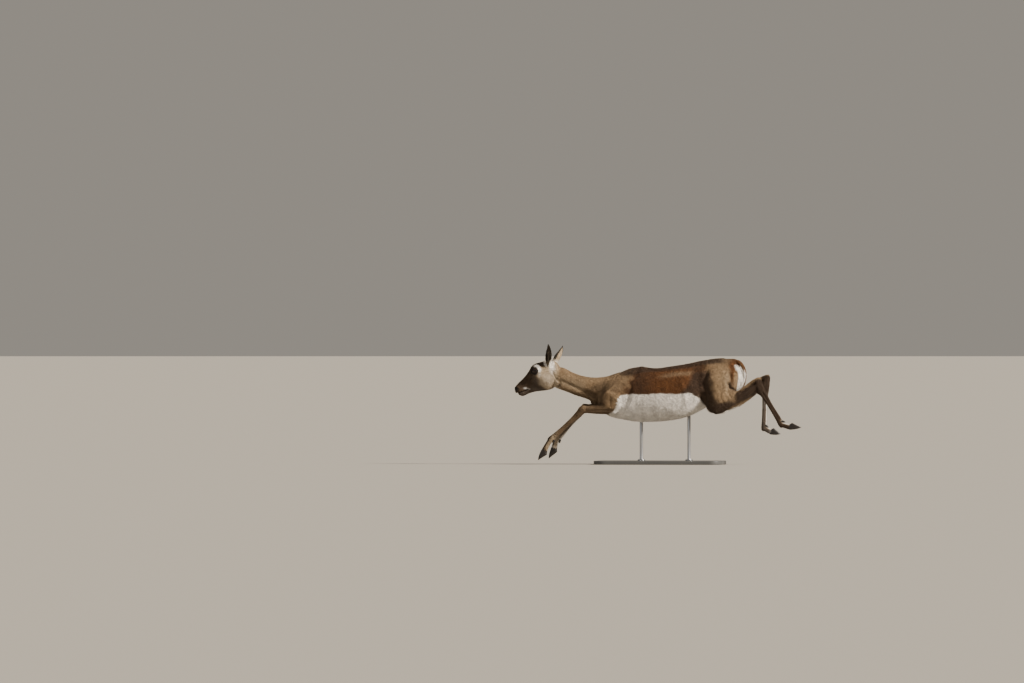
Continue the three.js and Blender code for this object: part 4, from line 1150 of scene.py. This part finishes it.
def eye_material(settings):
    """A wet eye: a dark brown iris round a wide level pupil, under a clear, sharp gloss."""
    wet = {"Roughness": 0.3, "Specular IOR Level": 0.1, "Coat Weight": 0.6, "Coat Roughness": 0.02}
    material, tree, shader = new_material("eye_wet", wet)
    iris = add_node(tree, "Attribute", {}, "Fac", attribute_name="iris")
    pupil = add_node(tree, "Attribute", {}, "Fac", attribute_name="pupil")
    place = add_node(tree, "TexCoord", {}, "Object")
    fibre = add_node(tree, "TexNoise", {"Scale": 900.0, "Detail": 3.0, "Vector": place})
    browns = {0: fibre, 6: tuple(settings.iris), 7: colour("#2a160b")}
    brown = add_node(tree, "Mix", browns, 2, data_type="RGBA")
    tint = colour("#191210")
    for mask, paint in ((iris, brown), (pupil, colour("#020203"))):
        tint = add_node(tree, "Mix", {0: mask, 6: tint, 7: paint}, 2, data_type="RGBA")
    feed(tree, shader, {"Base Color": tint})
    return material


def board_material(settings):
    """A board painted satin dark grey, sprayed and flatted: even, with the faintest orange peel."""
    material, tree, shader = new_material("board_satin_paint", {"Specular IOR Level": 0.45})
    place = add_node(tree, "TexCoord", {}, "Object")
    cloud = add_node(tree, "TexNoise", {"Scale": 9.0, "Detail": 5.0, "Vector": place})
    peel = add_node(tree, "TexNoise", {"Scale": 420.0, "Detail": 2.0, "Vector": place})
    greys = {0: cloud, 6: tuple(settings.board), 7: colour("#565654")}
    tint = add_node(tree, "Mix", greys, 2, data_type="RGBA")
    rough = add_node(tree, "MapRange", {"Value": cloud, "To Min": 0.36, "To Max": 0.5})
    bump = add_node(tree, "Bump", {"Height": peel, "Strength": 0.12, "Distance": 0.0003})
    feed(tree, shader, {"Base Color": tint, "Roughness": rough, "Normal": bump})
    return material


def rod_material():
    """Stainless steel rod, turned and brushed round: fine rings across its length."""
    material, tree, shader = new_material("rod_brushed_steel", {"Metallic": 1.0})
    place = add_node(tree, "TexCoord", {}, "Object")
    flat = add_node(tree, "Mapping", {"Scale": (1.0, 1.0, 40.0), "Vector": place})
    brush = add_node(tree, "TexNoise", {"Scale": 60.0, "Detail": 4.0, "Vector": flat})
    greys = {0: brush, 6: colour("#a7a9ab"), 7: colour("#c9cacb")}
    tint = add_node(tree, "Mix", greys, 2, data_type="RGBA")
    rough = add_node(tree, "MapRange", {"Value": brush, "To Min": 0.22, "To Max": 0.42})
    bump = add_node(tree, "Bump", {"Height": brush, "Strength": 0.1, "Distance": 0.0002})
    feed(tree, shader, {"Base Color": tint, "Roughness": rough, "Normal": bump})
    return material


def number_setting(name, default, description):
    """A setting that is a number."""
    return FloatProperty(name=name, description=description, default=default)


def colour_setting(name, default, description):
    """A setting that is a colour."""
    sizes = {"subtype": "COLOR", "size": 4, "default": colour(default)}
    return FloatVectorProperty(name=name, description=description, **sizes)


class CoatSettings(bpy.types.PropertyGroup):
    """Sizes and colours of the skin and coat."""

    depth: number_setting("Coat depth", 3.0, "How far the skin lies inside the solids, in mm")
    cell: number_setting("Skin cell", 2.3, "Edge of the skin's even mesh, in mm")
    zoom: number_setting("Head zoom", 2.3, "How much finer the mesh is on the head")
    faces: IntProperty(name="Skin faces", description="Triangles of the finished skin", default=190000)
    thickness: number_setting("Thickness", 1.0, "Tufts, as a share of the usual layers")
    fawn: colour_setting("Fawn", "#8b7458", "Neck, shoulder and thigh")
    rich: colour_setting("Rich brown", "#5f3c1f", "Flank and croup")
    pale: colour_setting("Pale", "#ab9a80", "Cheek, band and lower neck")
    # The dark brown is also the colour of the painted shade and shadows on the flank, shoulder, neck, folds,
    # face, legs and round the eyes.
    shade: colour_setting("Dark brown", "#36291f", "Back, crown, muzzle and legs")
    white: colour_setting("White", "#f2eee8", "Belly, rump and inner legs")
    black: colour_setting("Black", "#1b1613", "Nose, lids and ear edges")


class PartSettings(bpy.types.PropertyGroup):
    """Colours of the hard pieces and of the stand."""

    horn: colour_setting("Horn", "#16120f", "Hooves and dewclaws")
    iris: colour_setting("Iris", "#26150a", "The eye's brown")
    board: colour_setting("Board", "#4a4a49", "The painted base")


class StageSettings(bpy.types.PropertyGroup):
    """The floor, the light and their strengths."""

    floor: colour_setting("Floor", "#aaa59c", "The pale floor")
    key: number_setting("Key light", 8.2, "Strength of the main light")
    fill: number_setting("Fill light", 0.3, "Strength of the soft light")
    sky: number_setting("Sky", 0.33, "Strength of the even light all round")


LEG_NODES = {
    "fore": ("upper_arm", "forearm", "cannon", "pastern"),
    "hind": ("thigh", "shank", "cannon", "pastern"),
}
SKIN_NODES = ["head", "neck", "torso", "tail", "ear_left", "ear_right"]
SKIN_NODES += [f"{leg}_{part}" for leg in LEGS for part in LEG_NODES[leg[:4]]]
BODY_ROUNDS, SKIN_ROUNDS, SKIN_EASE = 26, 3, 0.35  # how the remeshed skin is evened
STRAND_LENGTH, STRAND_WIDTH = 22, 2.0  # in mm, for one unit of the streaks' noise
UNWRAP_ANGLE, UNWRAP_MARGIN = math.radians(66), 0.002


class BLACKBUCK_OT_skin(bpy.types.Operator):
    """Makes one skin over the whole animal, with its folds and markings."""

    bl_idname = "blackbuck.skin"
    bl_label = "Skin"

    def execute(self, context):
        settings = context.scene.blackbuck_coat
        scale = settings.zoom
        cell = settings.cell * 1.0
        points, quads, tris = flesh(settings.depth)
        skin = link("skin", new_mesh("skin", magnified(points, scale), quads, tris))
        with_modifier(skin, "REMESH", mode="VOXEL", voxel_size=cell * MM)
        put_points(skin.data, reduced(points_of(skin.data) / MM, scale) * MM)
        here = points_of(skin.data) / MM
        evened(skin.data, BODY_ROUNDS, body_ease(here))
        evened(skin.data, SKIN_ROUNDS, np.full(len(here), SKIN_EASE))
        here = points_of(skin.data) / MM
        rise = relief(here)
        put_points(skin.data, (here + points_of(skin.data, "normal") * rise[:, None]) * MM)
        skin.data.calc_loop_triangles()
        share = min(1.0, settings.faces / len(skin.data.loop_triangles))
        with_modifier(skin, "DECIMATE", ratio=share, use_collapse_triangulate=True)
        unwrap(skin)
        here = points_of(skin.data) / MM
        _, along, offset, shares = lie_of_coat(here)
        values = markings(here, shares, offset)
        values.update(along=along / STRAND_LENGTH, across=offset / STRAND_WIDTH)
        for key in values:
            set_attribute(skin.data, key, values[key])
        finish_piece(skin, coat_material("coat_skin", settings, False), "coat", *SKIN_NODES)
        return {"FINISHED"}


def unwrap(obj):
    """A smart unwrap of the piece's own shape, named OFBake."""
    obj.data.uv_layers.new(name="OFBake")
    for other in bpy.context.selected_objects:
        other.select_set(False)
    bpy.context.view_layer.objects.active = obj
    obj.select_set(True)
    bpy.ops.object.mode_set(mode="EDIT")
    bpy.ops.mesh.select_all(action="SELECT")
    bpy.ops.uv.smart_project(angle_limit=UNWRAP_ANGLE, island_margin=UNWRAP_MARGIN)
    bpy.ops.object.mode_set(mode="OBJECT")
    obj.select_set(False)


# Each region of the coat: its chains, its side (0 for both), and how many layers of tufts deep it is
COAT_PIECES = (
    ("coat_head_left", ("head",), -1, 1.5),
    ("coat_head_right", ("head",), 1, 1.5),
    ("coat_ears_tail", ("ear_left", "ear_right", "tail"), 0, 1.6),
    ("coat_neck", ("neck",), 0, 2.2),
    ("coat_trunk_left", ("trunk",), -1, 2.0),
    ("coat_trunk_right", ("trunk",), 1, 2.0),
    *((f"coat_{leg}", (leg,), 0, 1.4) for leg in LEGS),
)
MOST_TUFTS = 19500  # in one piece
# Lengths of tufts by part, in mm, and what the feet have less, and the tail's end and the rump more
HAIR_LENGTHS = {"head": 5.2, "neck": 12, "trunk": 12.5, "legs": 10, "tail": 14, "ears": 6}
FOOT_LESS, TAIL_MORE, RUMP_MORE = 5, 9, 6
# How tufts vary: shares of the length and of the lift, the spread of the bend, and the tone
LENGTH_RANGE, LIFT_RANGE, BEND_SPREAD, TONE_RANGE = (0.75, 1.2), (0.4, 1.5), 0.15, (0.34, 0.66)
STUBBLE = 0.35  # the length left on bare skin
# No tufts grow within these, in mm: on the ball of the eye, in the mouth's opening and in the hooves
BALD_EYE, BALD_MOUTH, BALD_HOOF = 18.3, 1.6, 50
BALD_NOSE = 688  # from here on along the head, above the mouth
HAIR_END = 3.02  # along the leg's joints, just inside the hooves

# A tuft's points are the left, right and top of its root, the same of its middle, and its tip.
TUFT_FACES = np.array(
    ((0, 1, 4), (0, 4, 3), (3, 4, 6), (0, 2, 1), (1, 2, 5))
    + ((1, 5, 4), (2, 0, 3), (2, 3, 5), (4, 5, 6), (5, 3, 6))
)
TUFT_UNDERSIDE = 4  # faces, the first of these
TUFT_UV = 0.003 * np.array(((0, 0), (1, 0), (0.5, 0.2), (0.1, 0.5), (0.9, 0.5), (0.5, 0.6), (0.5, 1)))
TUFT_TONES = (-0.14, -0.14, -0.1, -0.02, -0.02, 0.02, 0.1)  # darker at the root than at the tip
TUFT_ROOT = 0.5  # below the skin, in mm
TUFT_RIDGE, TUFT_WAIST = 0.2, 0.8  # its thickness and its middle's width, as shares of its width
TUFT_CURL = 1.1  # how far its tip stands off, as a share of its middle


def hair_sizes(points, shares, masks):
    """By place: a tuft's length and width in millimetres, and its lift as a share of its length."""
    x, _, z = points.T
    ears = shares["ear_left"] + shares["ear_right"]
    legs = sum(shares[leg] for leg in LEGS)
    parts = dict(shares, legs=legs, ears=ears)
    low = legs * (1 - soft(z, 225, 290) * soft(-np.abs(x - 30), -420, -330))
    length = sum(size * parts[key] for key, size in HAIR_LENGTHS.items())
    length = length - FOOT_LESS * low + TAIL_MORE * shares["tail"] * soft(-z, -410, -370)
    muzzle = soft(-x, 560, 640) * shares["head"]
    length = length * (1 - 0.55 * muzzle) * (1 + 0.2 * masks["white"] * (1 - muzzle) * (1 - low))
    rump = soft(x, 352, 366) * masks["white"] * shares["trunk"]
    length = length + RUMP_MORE * rump
    width = 0.34 + 0.08 * length
    lift = 0.08 + 0.04 * masks["white"] + 0.06 * rump
    return length, width, lift


def bald(points):
    """True where no tufts grow: on the ball of the eye, in the mouth, on the nose and in the hooves."""
    gap, ahead = mouth_gap(points)
    found = np.linalg.norm(folded(points) - EYE, axis=1) < BALD_EYE
    found |= (np.abs(gap) < BALD_MOUTH) & (ahead > 0.5)
    found |= (points[:, 0] < -BALD_NOSE) & (gap > 5)
    for leg in LEGS:
        top, tip = leg_point(leg, HAIR_END), leg_point(leg, 3.6)
        past = (points - top) @ unit(tip - top)
        found |= (past > 0) & (np.linalg.norm(points - top, axis=1) < BALD_HOOF)
    return found


def sweep(points, shares):
    """What turns the lie off the bones: down and back along the sides, and straight down the rump."""
    low = shares["trunk"] * soft(np.abs(points[:, 1]), 20, 80)
    rear = shares["trunk"] * soft(points[:, 0], 345, 385)
    down = -0.35 * low - 0.12 * shares["neck"] - 3.0 * rear
    return np.stack([0.05 + 0 * down, 0 * down, down], -1)


def tuft_mesh(name, root, normal, way, uv, length, width, lift, bend, extra):
    """Tufts as thin closed blades, flat below and ridged above. Each has a three-sided root, a
    three-sided middle and a tip: root plus way times length, raised off the skin by lift. Bend turns
    its way aside."""
    count = len(root)
    across = unit(np.cross(normal, way))
    way = unit(way + across * bend[:, None])
    across = unit(np.cross(normal, way))
    half = (width / 2)[:, None] * across
    thick = (TUFT_RIDGE * width)[:, None] * normal
    rise = (lift * length)[:, None] * normal
    base = root - TUFT_ROOT * normal
    middle = root + way * (0.5 * length)[:, None] + rise
    tip = root + way * length[:, None] + TUFT_CURL * rise
    foot = [base - half, base + half, base + 2 * thick]
    waist = [middle - TUFT_WAIST * half, middle + TUFT_WAIST * half, middle + thick]
    points = np.stack([*foot, *waist, tip], 1)
    corners = points.shape[1]
    tris = (np.arange(count)[:, None, None] * corners + TUFT_FACES).reshape(-1, 3)
    corner_uv = (uv[:, None, None] + TUFT_UV[TUFT_FACES][None]).reshape(-1, 2)
    attributes = {key: np.repeat(values, corners) for key, values in extra.items()}
    attributes["tone"] = attributes["tone"] + np.tile(TUFT_TONES, count)
    mesh = new_mesh(name, points.reshape(-1, 3), np.zeros((0, 4), int), tris, attributes, corner_uv)
    # The flat underside is shaded on its own, so that the ridge above stays as light as the skin.
    under = mesh.attributes.new("sharp_face", "BOOLEAN", "FACE")
    under.data.foreach_set("value", np.tile(np.arange(len(TUFT_FACES)) < TUFT_UNDERSIDE, count))
    return mesh


class BLACKBUCK_OT_coat(bpy.types.Operator):
    """Covers the skin in short tufts that follow the lie of the hair."""

    bl_idname = "blackbuck.coat"
    bl_label = "Coat"

    def execute(self, context):
        settings = context.scene.blackbuck_coat
        mesh = bpy.data.objects["skin"].data
        mesh.calc_loop_triangles()
        faces, corners = np.empty((2, len(mesh.loop_triangles) * 3), np.int32)
        mesh.loop_triangles.foreach_get("vertices", faces)
        mesh.loop_triangles.foreach_get("loops", corners)
        faces, corners = faces.reshape(-1, 3), corners.reshape(-1, 3)
        points = points_of(mesh) / MM
        normals = points_of(mesh, "normal")
        flat_uv = np.empty(len(mesh.loops) * 2, np.float32)
        mesh.uv_layers["OFBake"].uv.foreach_get("vector", flat_uv)
        flat_uv = flat_uv.reshape(-1, 2)
        first, second, third = (points[faces[:, k]] for k in range(3))
        area = 0.5 * np.linalg.norm(np.cross(second - first, third - first), axis=1)
        middles = points[faces].mean(1)
        _, _, offset, shares = lie_of_coat(middles)
        length, width, _ = hair_sizes(middles, shares, markings(middles, shares, offset))
        # A layer has as many tufts as cover the skin once.
        layer = area / (length * width) * ~bald(middles)
        material = coat_material("coat_tufts", settings, True)
        thin = settings.thickness * 1.0
        for seed, (name, chains, hand, layers) in enumerate(COAT_PIECES):
            held = sum(shares[chain] for chain in chains) * (middles[:, 1] * hand >= 0)
            chance = layer * held
            random = np.random.default_rng(seed)
            count = min(MOST_TUFTS, int(chance.sum() * layers * thin))
            pick = random.choice(len(faces), count, p=chance / chance.sum())
            share = np.sort(random.random((count, 2)), axis=1)
            share = np.stack([share[:, 0], share[:, 1] - share[:, 0], 1 - share[:, 1]], -1)[..., None]
            root = (points[faces[pick]] * share).sum(1)
            normal = unit((normals[faces[pick]] * share).sum(1))
            uv = (flat_uv[corners[pick]] * share).sum(1)
            way, _, offset, near = lie_of_coat(root)
            masks = markings(root, near, offset)
            way = unit(way + sweep(root, near))
            way = unit(way - normal * (way * normal).sum(1, keepdims=True))
            length, width, lift = hair_sizes(root, near, masks)
            stubble = np.where(masks["bare"] > 0.5, STUBBLE, 1)
            length = length * random.uniform(*LENGTH_RANGE, count) * stubble
            bend = random.normal(0, BEND_SPREAD, count)
            lift = lift * random.uniform(*LIFT_RANGE, count)
            extra = dict(masks, tone=random.uniform(*TONE_RANGE, count))
            tufts = link(name, tuft_mesh(name, root, normal, way, uv, length, width, lift, bend, extra))
            finish_piece(tufts, material, "coat")
        return {"FINISHED"}


EYE_PLAY = 0.1  # how far the ball stays inside its solid, in mm
CORNEA_RISE, CORNEA_SPAN = 0.035, 0.55  # a share of the ball's radius, and radians
PUPIL_HALF = (0.5, 0.24)  # its half length and half height, as shares of the ball's radius
LASHES = 26  # on one lid
LASH_SEED = 23


class BLACKBUCK_OT_eyes(bpy.types.Operator):
    """Sets both eyes in their lids, with lashes over them."""

    bl_idname = "blackbuck.eyes"
    bl_label = "Eyes"

    def execute(self, context):
        material = eye_material(context.scene.blackbuck_parts)
        for hand, side in zip(SIDES, ("left", "right")):
            middle, gaze, along, across = eye_axes(hand)
            points, quads, tris = ball(middle, (along, across, gaze), (1, 1, 1), 64, 48)
            away = unit(points - middle)
            # The clear front stands prouder, as a bell of the angle from the gaze.
            angle = np.arccos(np.clip(away @ gaze, -1, 1))
            radius = (EYE_RADIUS - EYE_PLAY) * (1 + CORNEA_RISE * np.exp(-((angle / CORNEA_SPAN) ** 2)))
            level = away @ unit(np.array((-1, 0, -0.1))) / PUPIL_HALF[0]
            upright = (away @ np.array((0, 0, 1)) - gaze[2]) / PUPIL_HALF[1]
            pupil = soft(1 - level**2 - upright**2, -0.05, 0.05) * soft(-angle, -0.8, -0.7)
            masks = {"iris": soft(-angle, -0.78, -0.70), "pupil": pupil}
            mesh = new_mesh(f"eye_{side}_wet", middle + away * radius[:, None], quads, tris, masks)
            finish_piece(link(f"eye_{side}_wet", mesh), material, "eye", f"eye_{side}")
        lashes(context.scene.blackbuck_coat)
        return {"FINISHED"}


def lashes(settings):
    """Upper lashes: fine spikes that fan out from an ellipse along the rim of each upper lid."""
    rows = []
    turn = np.linspace(0.15 * np.pi, 0.85 * np.pi, LASHES)[:, None]
    cos, sin = np.cos(turn), np.sin(turn)
    for hand in SIDES:
        middle, gaze, along, across = eye_axes(hand)
        upward = across if across[2] > 0 else -across
        flat = along * LID_OPENING[0] * cos + upward * LID_OPENING[1] * sin
        rim = middle + flat + gaze * (np.sqrt(LID_REACH**2 - (flat**2).sum(1, keepdims=True)) + 1.5)
        way = unit(gaze + 0.45 * upward * sin + 0.4 * along * cos)
        rows.append((rim, unit(upward * sin + along * cos), way))
    root, normal, way = (np.vstack(parts) for parts in zip(*rows))
    random = np.random.default_rng(LASH_SEED)
    number = len(root)
    extra = {key: np.full(number, float(key == "black")) for key in MASKS}
    extra["tone"] = np.full(number, 0.5)
    mesh = tuft_mesh(
        "lashes",
        root,
        normal,
        way,
        random.random((number, 2)) * 0.9,
        random.uniform(5, 7.5, number),
        np.full(number, 0.55),
        np.full(number, 0.12),
        random.normal(0, 0.12, number),
        extra,
    )
    finish_piece(link("lashes", mesh), coat_material("lash_hair", settings, True), "coat")


HOOF_PLAY = 0.15  # how far the horn stays inside its solid, in mm
GROWTH_RING = 1.6  # mm
# A dewclaw's place down its own line, and its radius there, in mm
DEWCLAW = ((-8, 5.0), (-2, 4.6), (4, 3.6), (8, 2.2))


class BLACKBUCK_OT_hooves(bpy.types.Operator):
    """Makes each foot's pair of pointed hooves and its two dewclaws."""

    bl_idname = "blackbuck.hooves"
    bl_label = "Hooves"

    def execute(self, context):
        material = hoof_material(context.scene.blackbuck_parts)
        for leg in LEGS:
            parts = []
            for aside in SIDES:
                parts.append(loft(leg_rows(leg, HOOF, aside), (1, 2), HOOF_PLAY, sides=40, per=10))
                parts.append(dewclaw(leg, aside))
            points, quads, tris = joined(parts)
            name = f"hooves_{leg}"
            mesh = new_mesh(name, points, quads, tris, {"along": self.growth(leg, points)})
            replaced = [f"{leg}_{kind}_{side}" for kind in ("hoof", "dewclaw") for side in ("inner", "outer")]
            finish_piece(link(name, mesh), material, "hoof", *replaced)
        return {"FINISHED"}

    @staticmethod
    def growth(leg, points):
        """How far down the hoof each point is, in growth rings."""
        top, tip = leg_point(leg, 3.0), leg_point(leg, 3.99)
        return (points - top) @ unit(tip - top) / GROWTH_RING


def dewclaw(leg, aside):
    """A small blunt cone behind the fetlock: a loft of round sections along its own line."""
    turn = math.radians(leg_rows(leg, ((2, 1, 1, 1, 2, 0),))[0][3])
    back = np.array((math.sin(turn), 0, math.cos(turn)))
    down = np.array((math.cos(turn), 0, -math.sin(turn)))
    way = unit(down + 0.36 * back)
    middle = leg_point(leg, 2.0, 17, aside * 8.5)
    lean = math.degrees(math.atan2(-way[2], way[0]))
    rows = []
    for along, radius in DEWCLAW:
        x, y, z = middle + way * along
        rows.append((x, y, z, lean, radius, radius, radius * 0.85, 2, 2))
    return loft(rows, (1, 1.2), 0.1, sides=24, per=6)


BOARD_CORNER, BOARD_EDGE = 60.0, 3.0  # the radius of the corners and of the edges
ROD_RADIUS = 8
ROD_SIDES = 64
ROD_PLAY = 1.5  # how far the rod's top stays below its solid's
# The foot's profile as how far in from its rim and how high over the board, and the rod's above it as
# radius and height
ROD_FOOT = ((1.2, 0), (0.3, 0.3), (0, 1.2), (0, 4.2), (0.4, 5.4), (2.6, 6.8))
ROD_COLLAR = ((9.4, 7.4), (8.4, 8.2), (ROD_RADIUS, 10))


class BLACKBUCK_OT_stand(bpy.types.Operator):
    """Makes the base and the two rods from the places of their solids."""

    bl_idname = "blackbuck.stand"
    bl_label = "Stand"

    def execute(self, context):
        settings = context.scene.blackbuck_parts
        low, high = (np.array(corner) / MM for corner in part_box("stand_base"))
        board = link("board", self.board(low, high))
        finish_piece(board, board_material(settings), "base_paint", "stand_base")
        steel = rod_material()
        for place in ("front", "rear"):
            low, high = (np.array(corner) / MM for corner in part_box(f"stand_rod_{place}"))
            rod = link(f"rod_{place}", self.rod(f"rod_{place}", low, high))
            finish_piece(rod, steel, "rod_steel", f"stand_rod_{place}")
        return {"FINISHED"}

    @staticmethod
    def board(low, high):
        """A plate with round corners: an eased edge profile carried round a rounded rectangle."""
        corner, edge, steps = BOARD_CORNER, BOARD_EDGE, 16
        ease = np.linspace(0, np.pi / 2, 6)
        inset = np.concatenate([edge * (1 - np.sin(ease)), edge * (1 - np.cos(ease))])
        height = np.concatenate([low[2] + edge * (1 - np.cos(ease)), high[2] - edge * (1 - np.sin(ease))])
        turn = np.concatenate([np.linspace(q, q + 1, steps) * np.pi / 2 for q in range(4)])
        quarter = np.repeat(np.arange(4), steps)
        sign_x = np.where((quarter == 0) | (quarter == 3), 1, -1)
        sign_y = np.where(quarter < 2, 1, -1)
        half = (high - low) / 2
        reach = corner - inset[:, None]
        x = sign_x * (half[0] - corner) + reach * np.cos(turn)
        y = sign_y * (half[1] - corner) + reach * np.sin(turn)
        points = np.stack([x, y, height[:, None] + 0 * x], -1).reshape(-1, 3)
        tips = [(0, 0, low[2]), (0, 0, high[2])]
        quads, tris = tube_faces(len(inset), 4 * steps)
        return new_mesh("board", np.vstack([points, tips]), quads[:, ::-1], tris[:, ::-1])

    @staticmethod
    def rod(name, low, high):
        """A round rod on a small round foot: a profile of radius and height turned about its axis."""
        middle = (low + high) / 2
        foot = (high[0] - low[0]) / 2
        base, top = low[2], high[2] - ROD_PLAY
        profile = [(foot - inset, base + rise) for inset, rise in ROD_FOOT]
        profile += [(radius, base + rise) for radius, rise in ROD_COLLAR]
        profile += [(ROD_RADIUS, (base + top) / 2), (ROD_RADIUS, top - 0.6), (ROD_RADIUS - 0.4, top)]
        radius, height = (column[:, None] for column in np.array(profile).T)
        turn = np.arange(ROD_SIDES) * 2 * np.pi / ROD_SIDES
        ring_x = middle[0] + radius * np.cos(turn)
        ring_y = middle[1] + radius * np.sin(turn)
        points = np.stack([ring_x, ring_y, height + 0 * ring_x], -1).reshape(-1, 3)
        tips = [(middle[0], middle[1], base), (middle[0], middle[1], top)]
        quads, tris = tube_faces(len(profile), ROD_SIDES)
        return new_mesh(name, np.vstack([points, tips]), quads[:, ::-1], tris[:, ::-1])


FLOOR_RADIUS = 400.0  # metres, so that its edge is far behind
FLOOR_RINGS = (0.002, 0.02, 0.2, 1.0)
FLOOR_SIDES = 96
# Suns: the way towards each, how many degrees wide it is, and its colour
SUNS = {"key": ((0.84, -0.27, 0.52), 9, "#fff5e8"), "fill": ((-0.7, -0.9, 0.55), 50, "#eef3ff")}


class BLACKBUCK_OT_stage(bpy.types.Operator):
    """Sets the floor, the lights, the sky and the photograph's camera."""

    bl_idname = "blackbuck.stage"
    bl_label = "Stage"

    def execute(self, context):
        settings = context.scene.blackbuck_stage
        self.floor(settings)
        self.camera(context)
        world = bpy.data.worlds.new("even_sky")
        context.scene.world = world
        world.use_nodes = True
        tree = world.node_tree
        feed(tree, tree.nodes["Background"], {"Color": colour("#f4ebdd"), "Strength": settings.sky})
        for name, power in (("key", settings.key), ("fill", settings.fill)):
            self.sun(name, power, *SUNS[name])
        return {"FINISHED"}

    @staticmethod
    def floor(settings):
        """A wide level disc under the stand."""
        turn = np.arange(FLOOR_SIDES) * 2 * np.pi / FLOOR_SIDES
        radius = FLOOR_RADIUS * np.array(FLOOR_RINGS)[:, None]
        points = np.stack([radius * np.cos(turn), radius * np.sin(turn), 0 * radius + 0 * turn], -1)
        points = np.vstack([points.reshape(-1, 3), [(0, 0, 0), (0, 0, 0)]]) / MM
        quads, tris = tube_faces(len(radius), FLOOR_SIDES)
        mesh = new_mesh("floor", points, quads, tris[:FLOOR_SIDES])
        matt = {"Roughness": 0.9, "Specular IOR Level": 0.2, "Base Color": tuple(settings.floor)}
        mesh.materials.append(new_material("floor_matt", matt)[0])
        link("floor", mesh)

    @staticmethod
    def camera(context):
        """The long lens of the photograph: its middle pixel looks level at a point of the row frame."""
        across = (PHOTO_SIZE[0] / 2 - MIDDLE_PIXEL[0]) * METRES_PER_PIXEL
        height = (MIDDLE_PIXEL[1] - PHOTO_SIZE[1] / 2) * METRES_PER_PIXEL
        distance = CAMERA_LENS * PHOTO_SIZE[0] * METRES_PER_PIXEL / CAMERA_SENSOR
        right = Vector((math.cos(CAMERA_YAW), math.sin(CAMERA_YAW), 0))
        back = Vector((math.sin(CAMERA_YAW), -math.cos(CAMERA_YAW), 0))
        data = bpy.data.cameras.new("camera")
        data.lens = CAMERA_LENS
        data.sensor_width = CAMERA_SENSOR
        data.clip_end = 1000.0
        camera = bpy.data.objects.new("camera", data)
        camera.location = right * across + back * distance + Vector((0, 0, height))
        camera.rotation_euler = back.to_track_quat("Z", "Y").to_euler()
        context.scene.collection.objects.link(camera)
        context.scene.camera = camera

    @staticmethod
    def sun(name, power, toward, softness, tint):
        """A soft distant light from a direction, so that the whole floor is lit alike."""
        data = bpy.data.lights.new(name, "SUN")
        data.angle = math.radians(softness)
        data.energy = power
        data.color = colour(tint)[:3]
        light = bpy.data.objects.new(name, data)
        light.rotation_euler = Vector(toward).to_track_quat("Z", "Y").to_euler()
        bpy.context.scene.collection.objects.link(light)


class BLACKBUCK_PT_panel(bpy.types.Panel):
    """Lists the steps that make the doe."""

    bl_label = "Blackbuck doe"
    bl_idname = "BLACKBUCK_PT_panel"
    bl_space_type = "VIEW_3D"
    bl_region_type = "UI"
    bl_category = "Blackbuck"

    def draw(self, context):
        for operator in OPERATORS:
            self.layout.operator(operator.bl_idname)
        for name in GROUPS:
            group = getattr(context.scene, name)
            for key in group.bl_rna.properties.keys():
                if key not in ("rna_type", "name"):
                    self.layout.prop(group, key)


OPERATORS = (
    BLACKBUCK_OT_stage,
    BLACKBUCK_OT_skin,
    BLACKBUCK_OT_coat,
    BLACKBUCK_OT_eyes,
    BLACKBUCK_OT_hooves,
    BLACKBUCK_OT_stand,
)
GROUPS = {
    "blackbuck_coat": CoatSettings,
    "blackbuck_parts": PartSettings,
    "blackbuck_stage": StageSettings,
}
CLASSES = (*GROUPS.values(), *OPERATORS, BLACKBUCK_PT_panel)


def register():
    """Registers the classes and the settings on the scene."""
    for each in CLASSES:
        bpy.utils.register_class(each)
    for name, group in GROUPS.items():
        setattr(bpy.types.Scene, name, bpy.props.PointerProperty(type=group))


def unregister():
    """Takes the settings and classes away again."""
    for name in GROUPS:
        delattr(bpy.types.Scene, name)
    for each in reversed(CLASSES):
        bpy.utils.unregister_class(each)


def main():
    register()
    for operator in OPERATORS:
        group, name = operator.bl_idname.split(".")
        getattr(getattr(bpy.ops, group), name)()


if __name__ == "__main__":
    main()
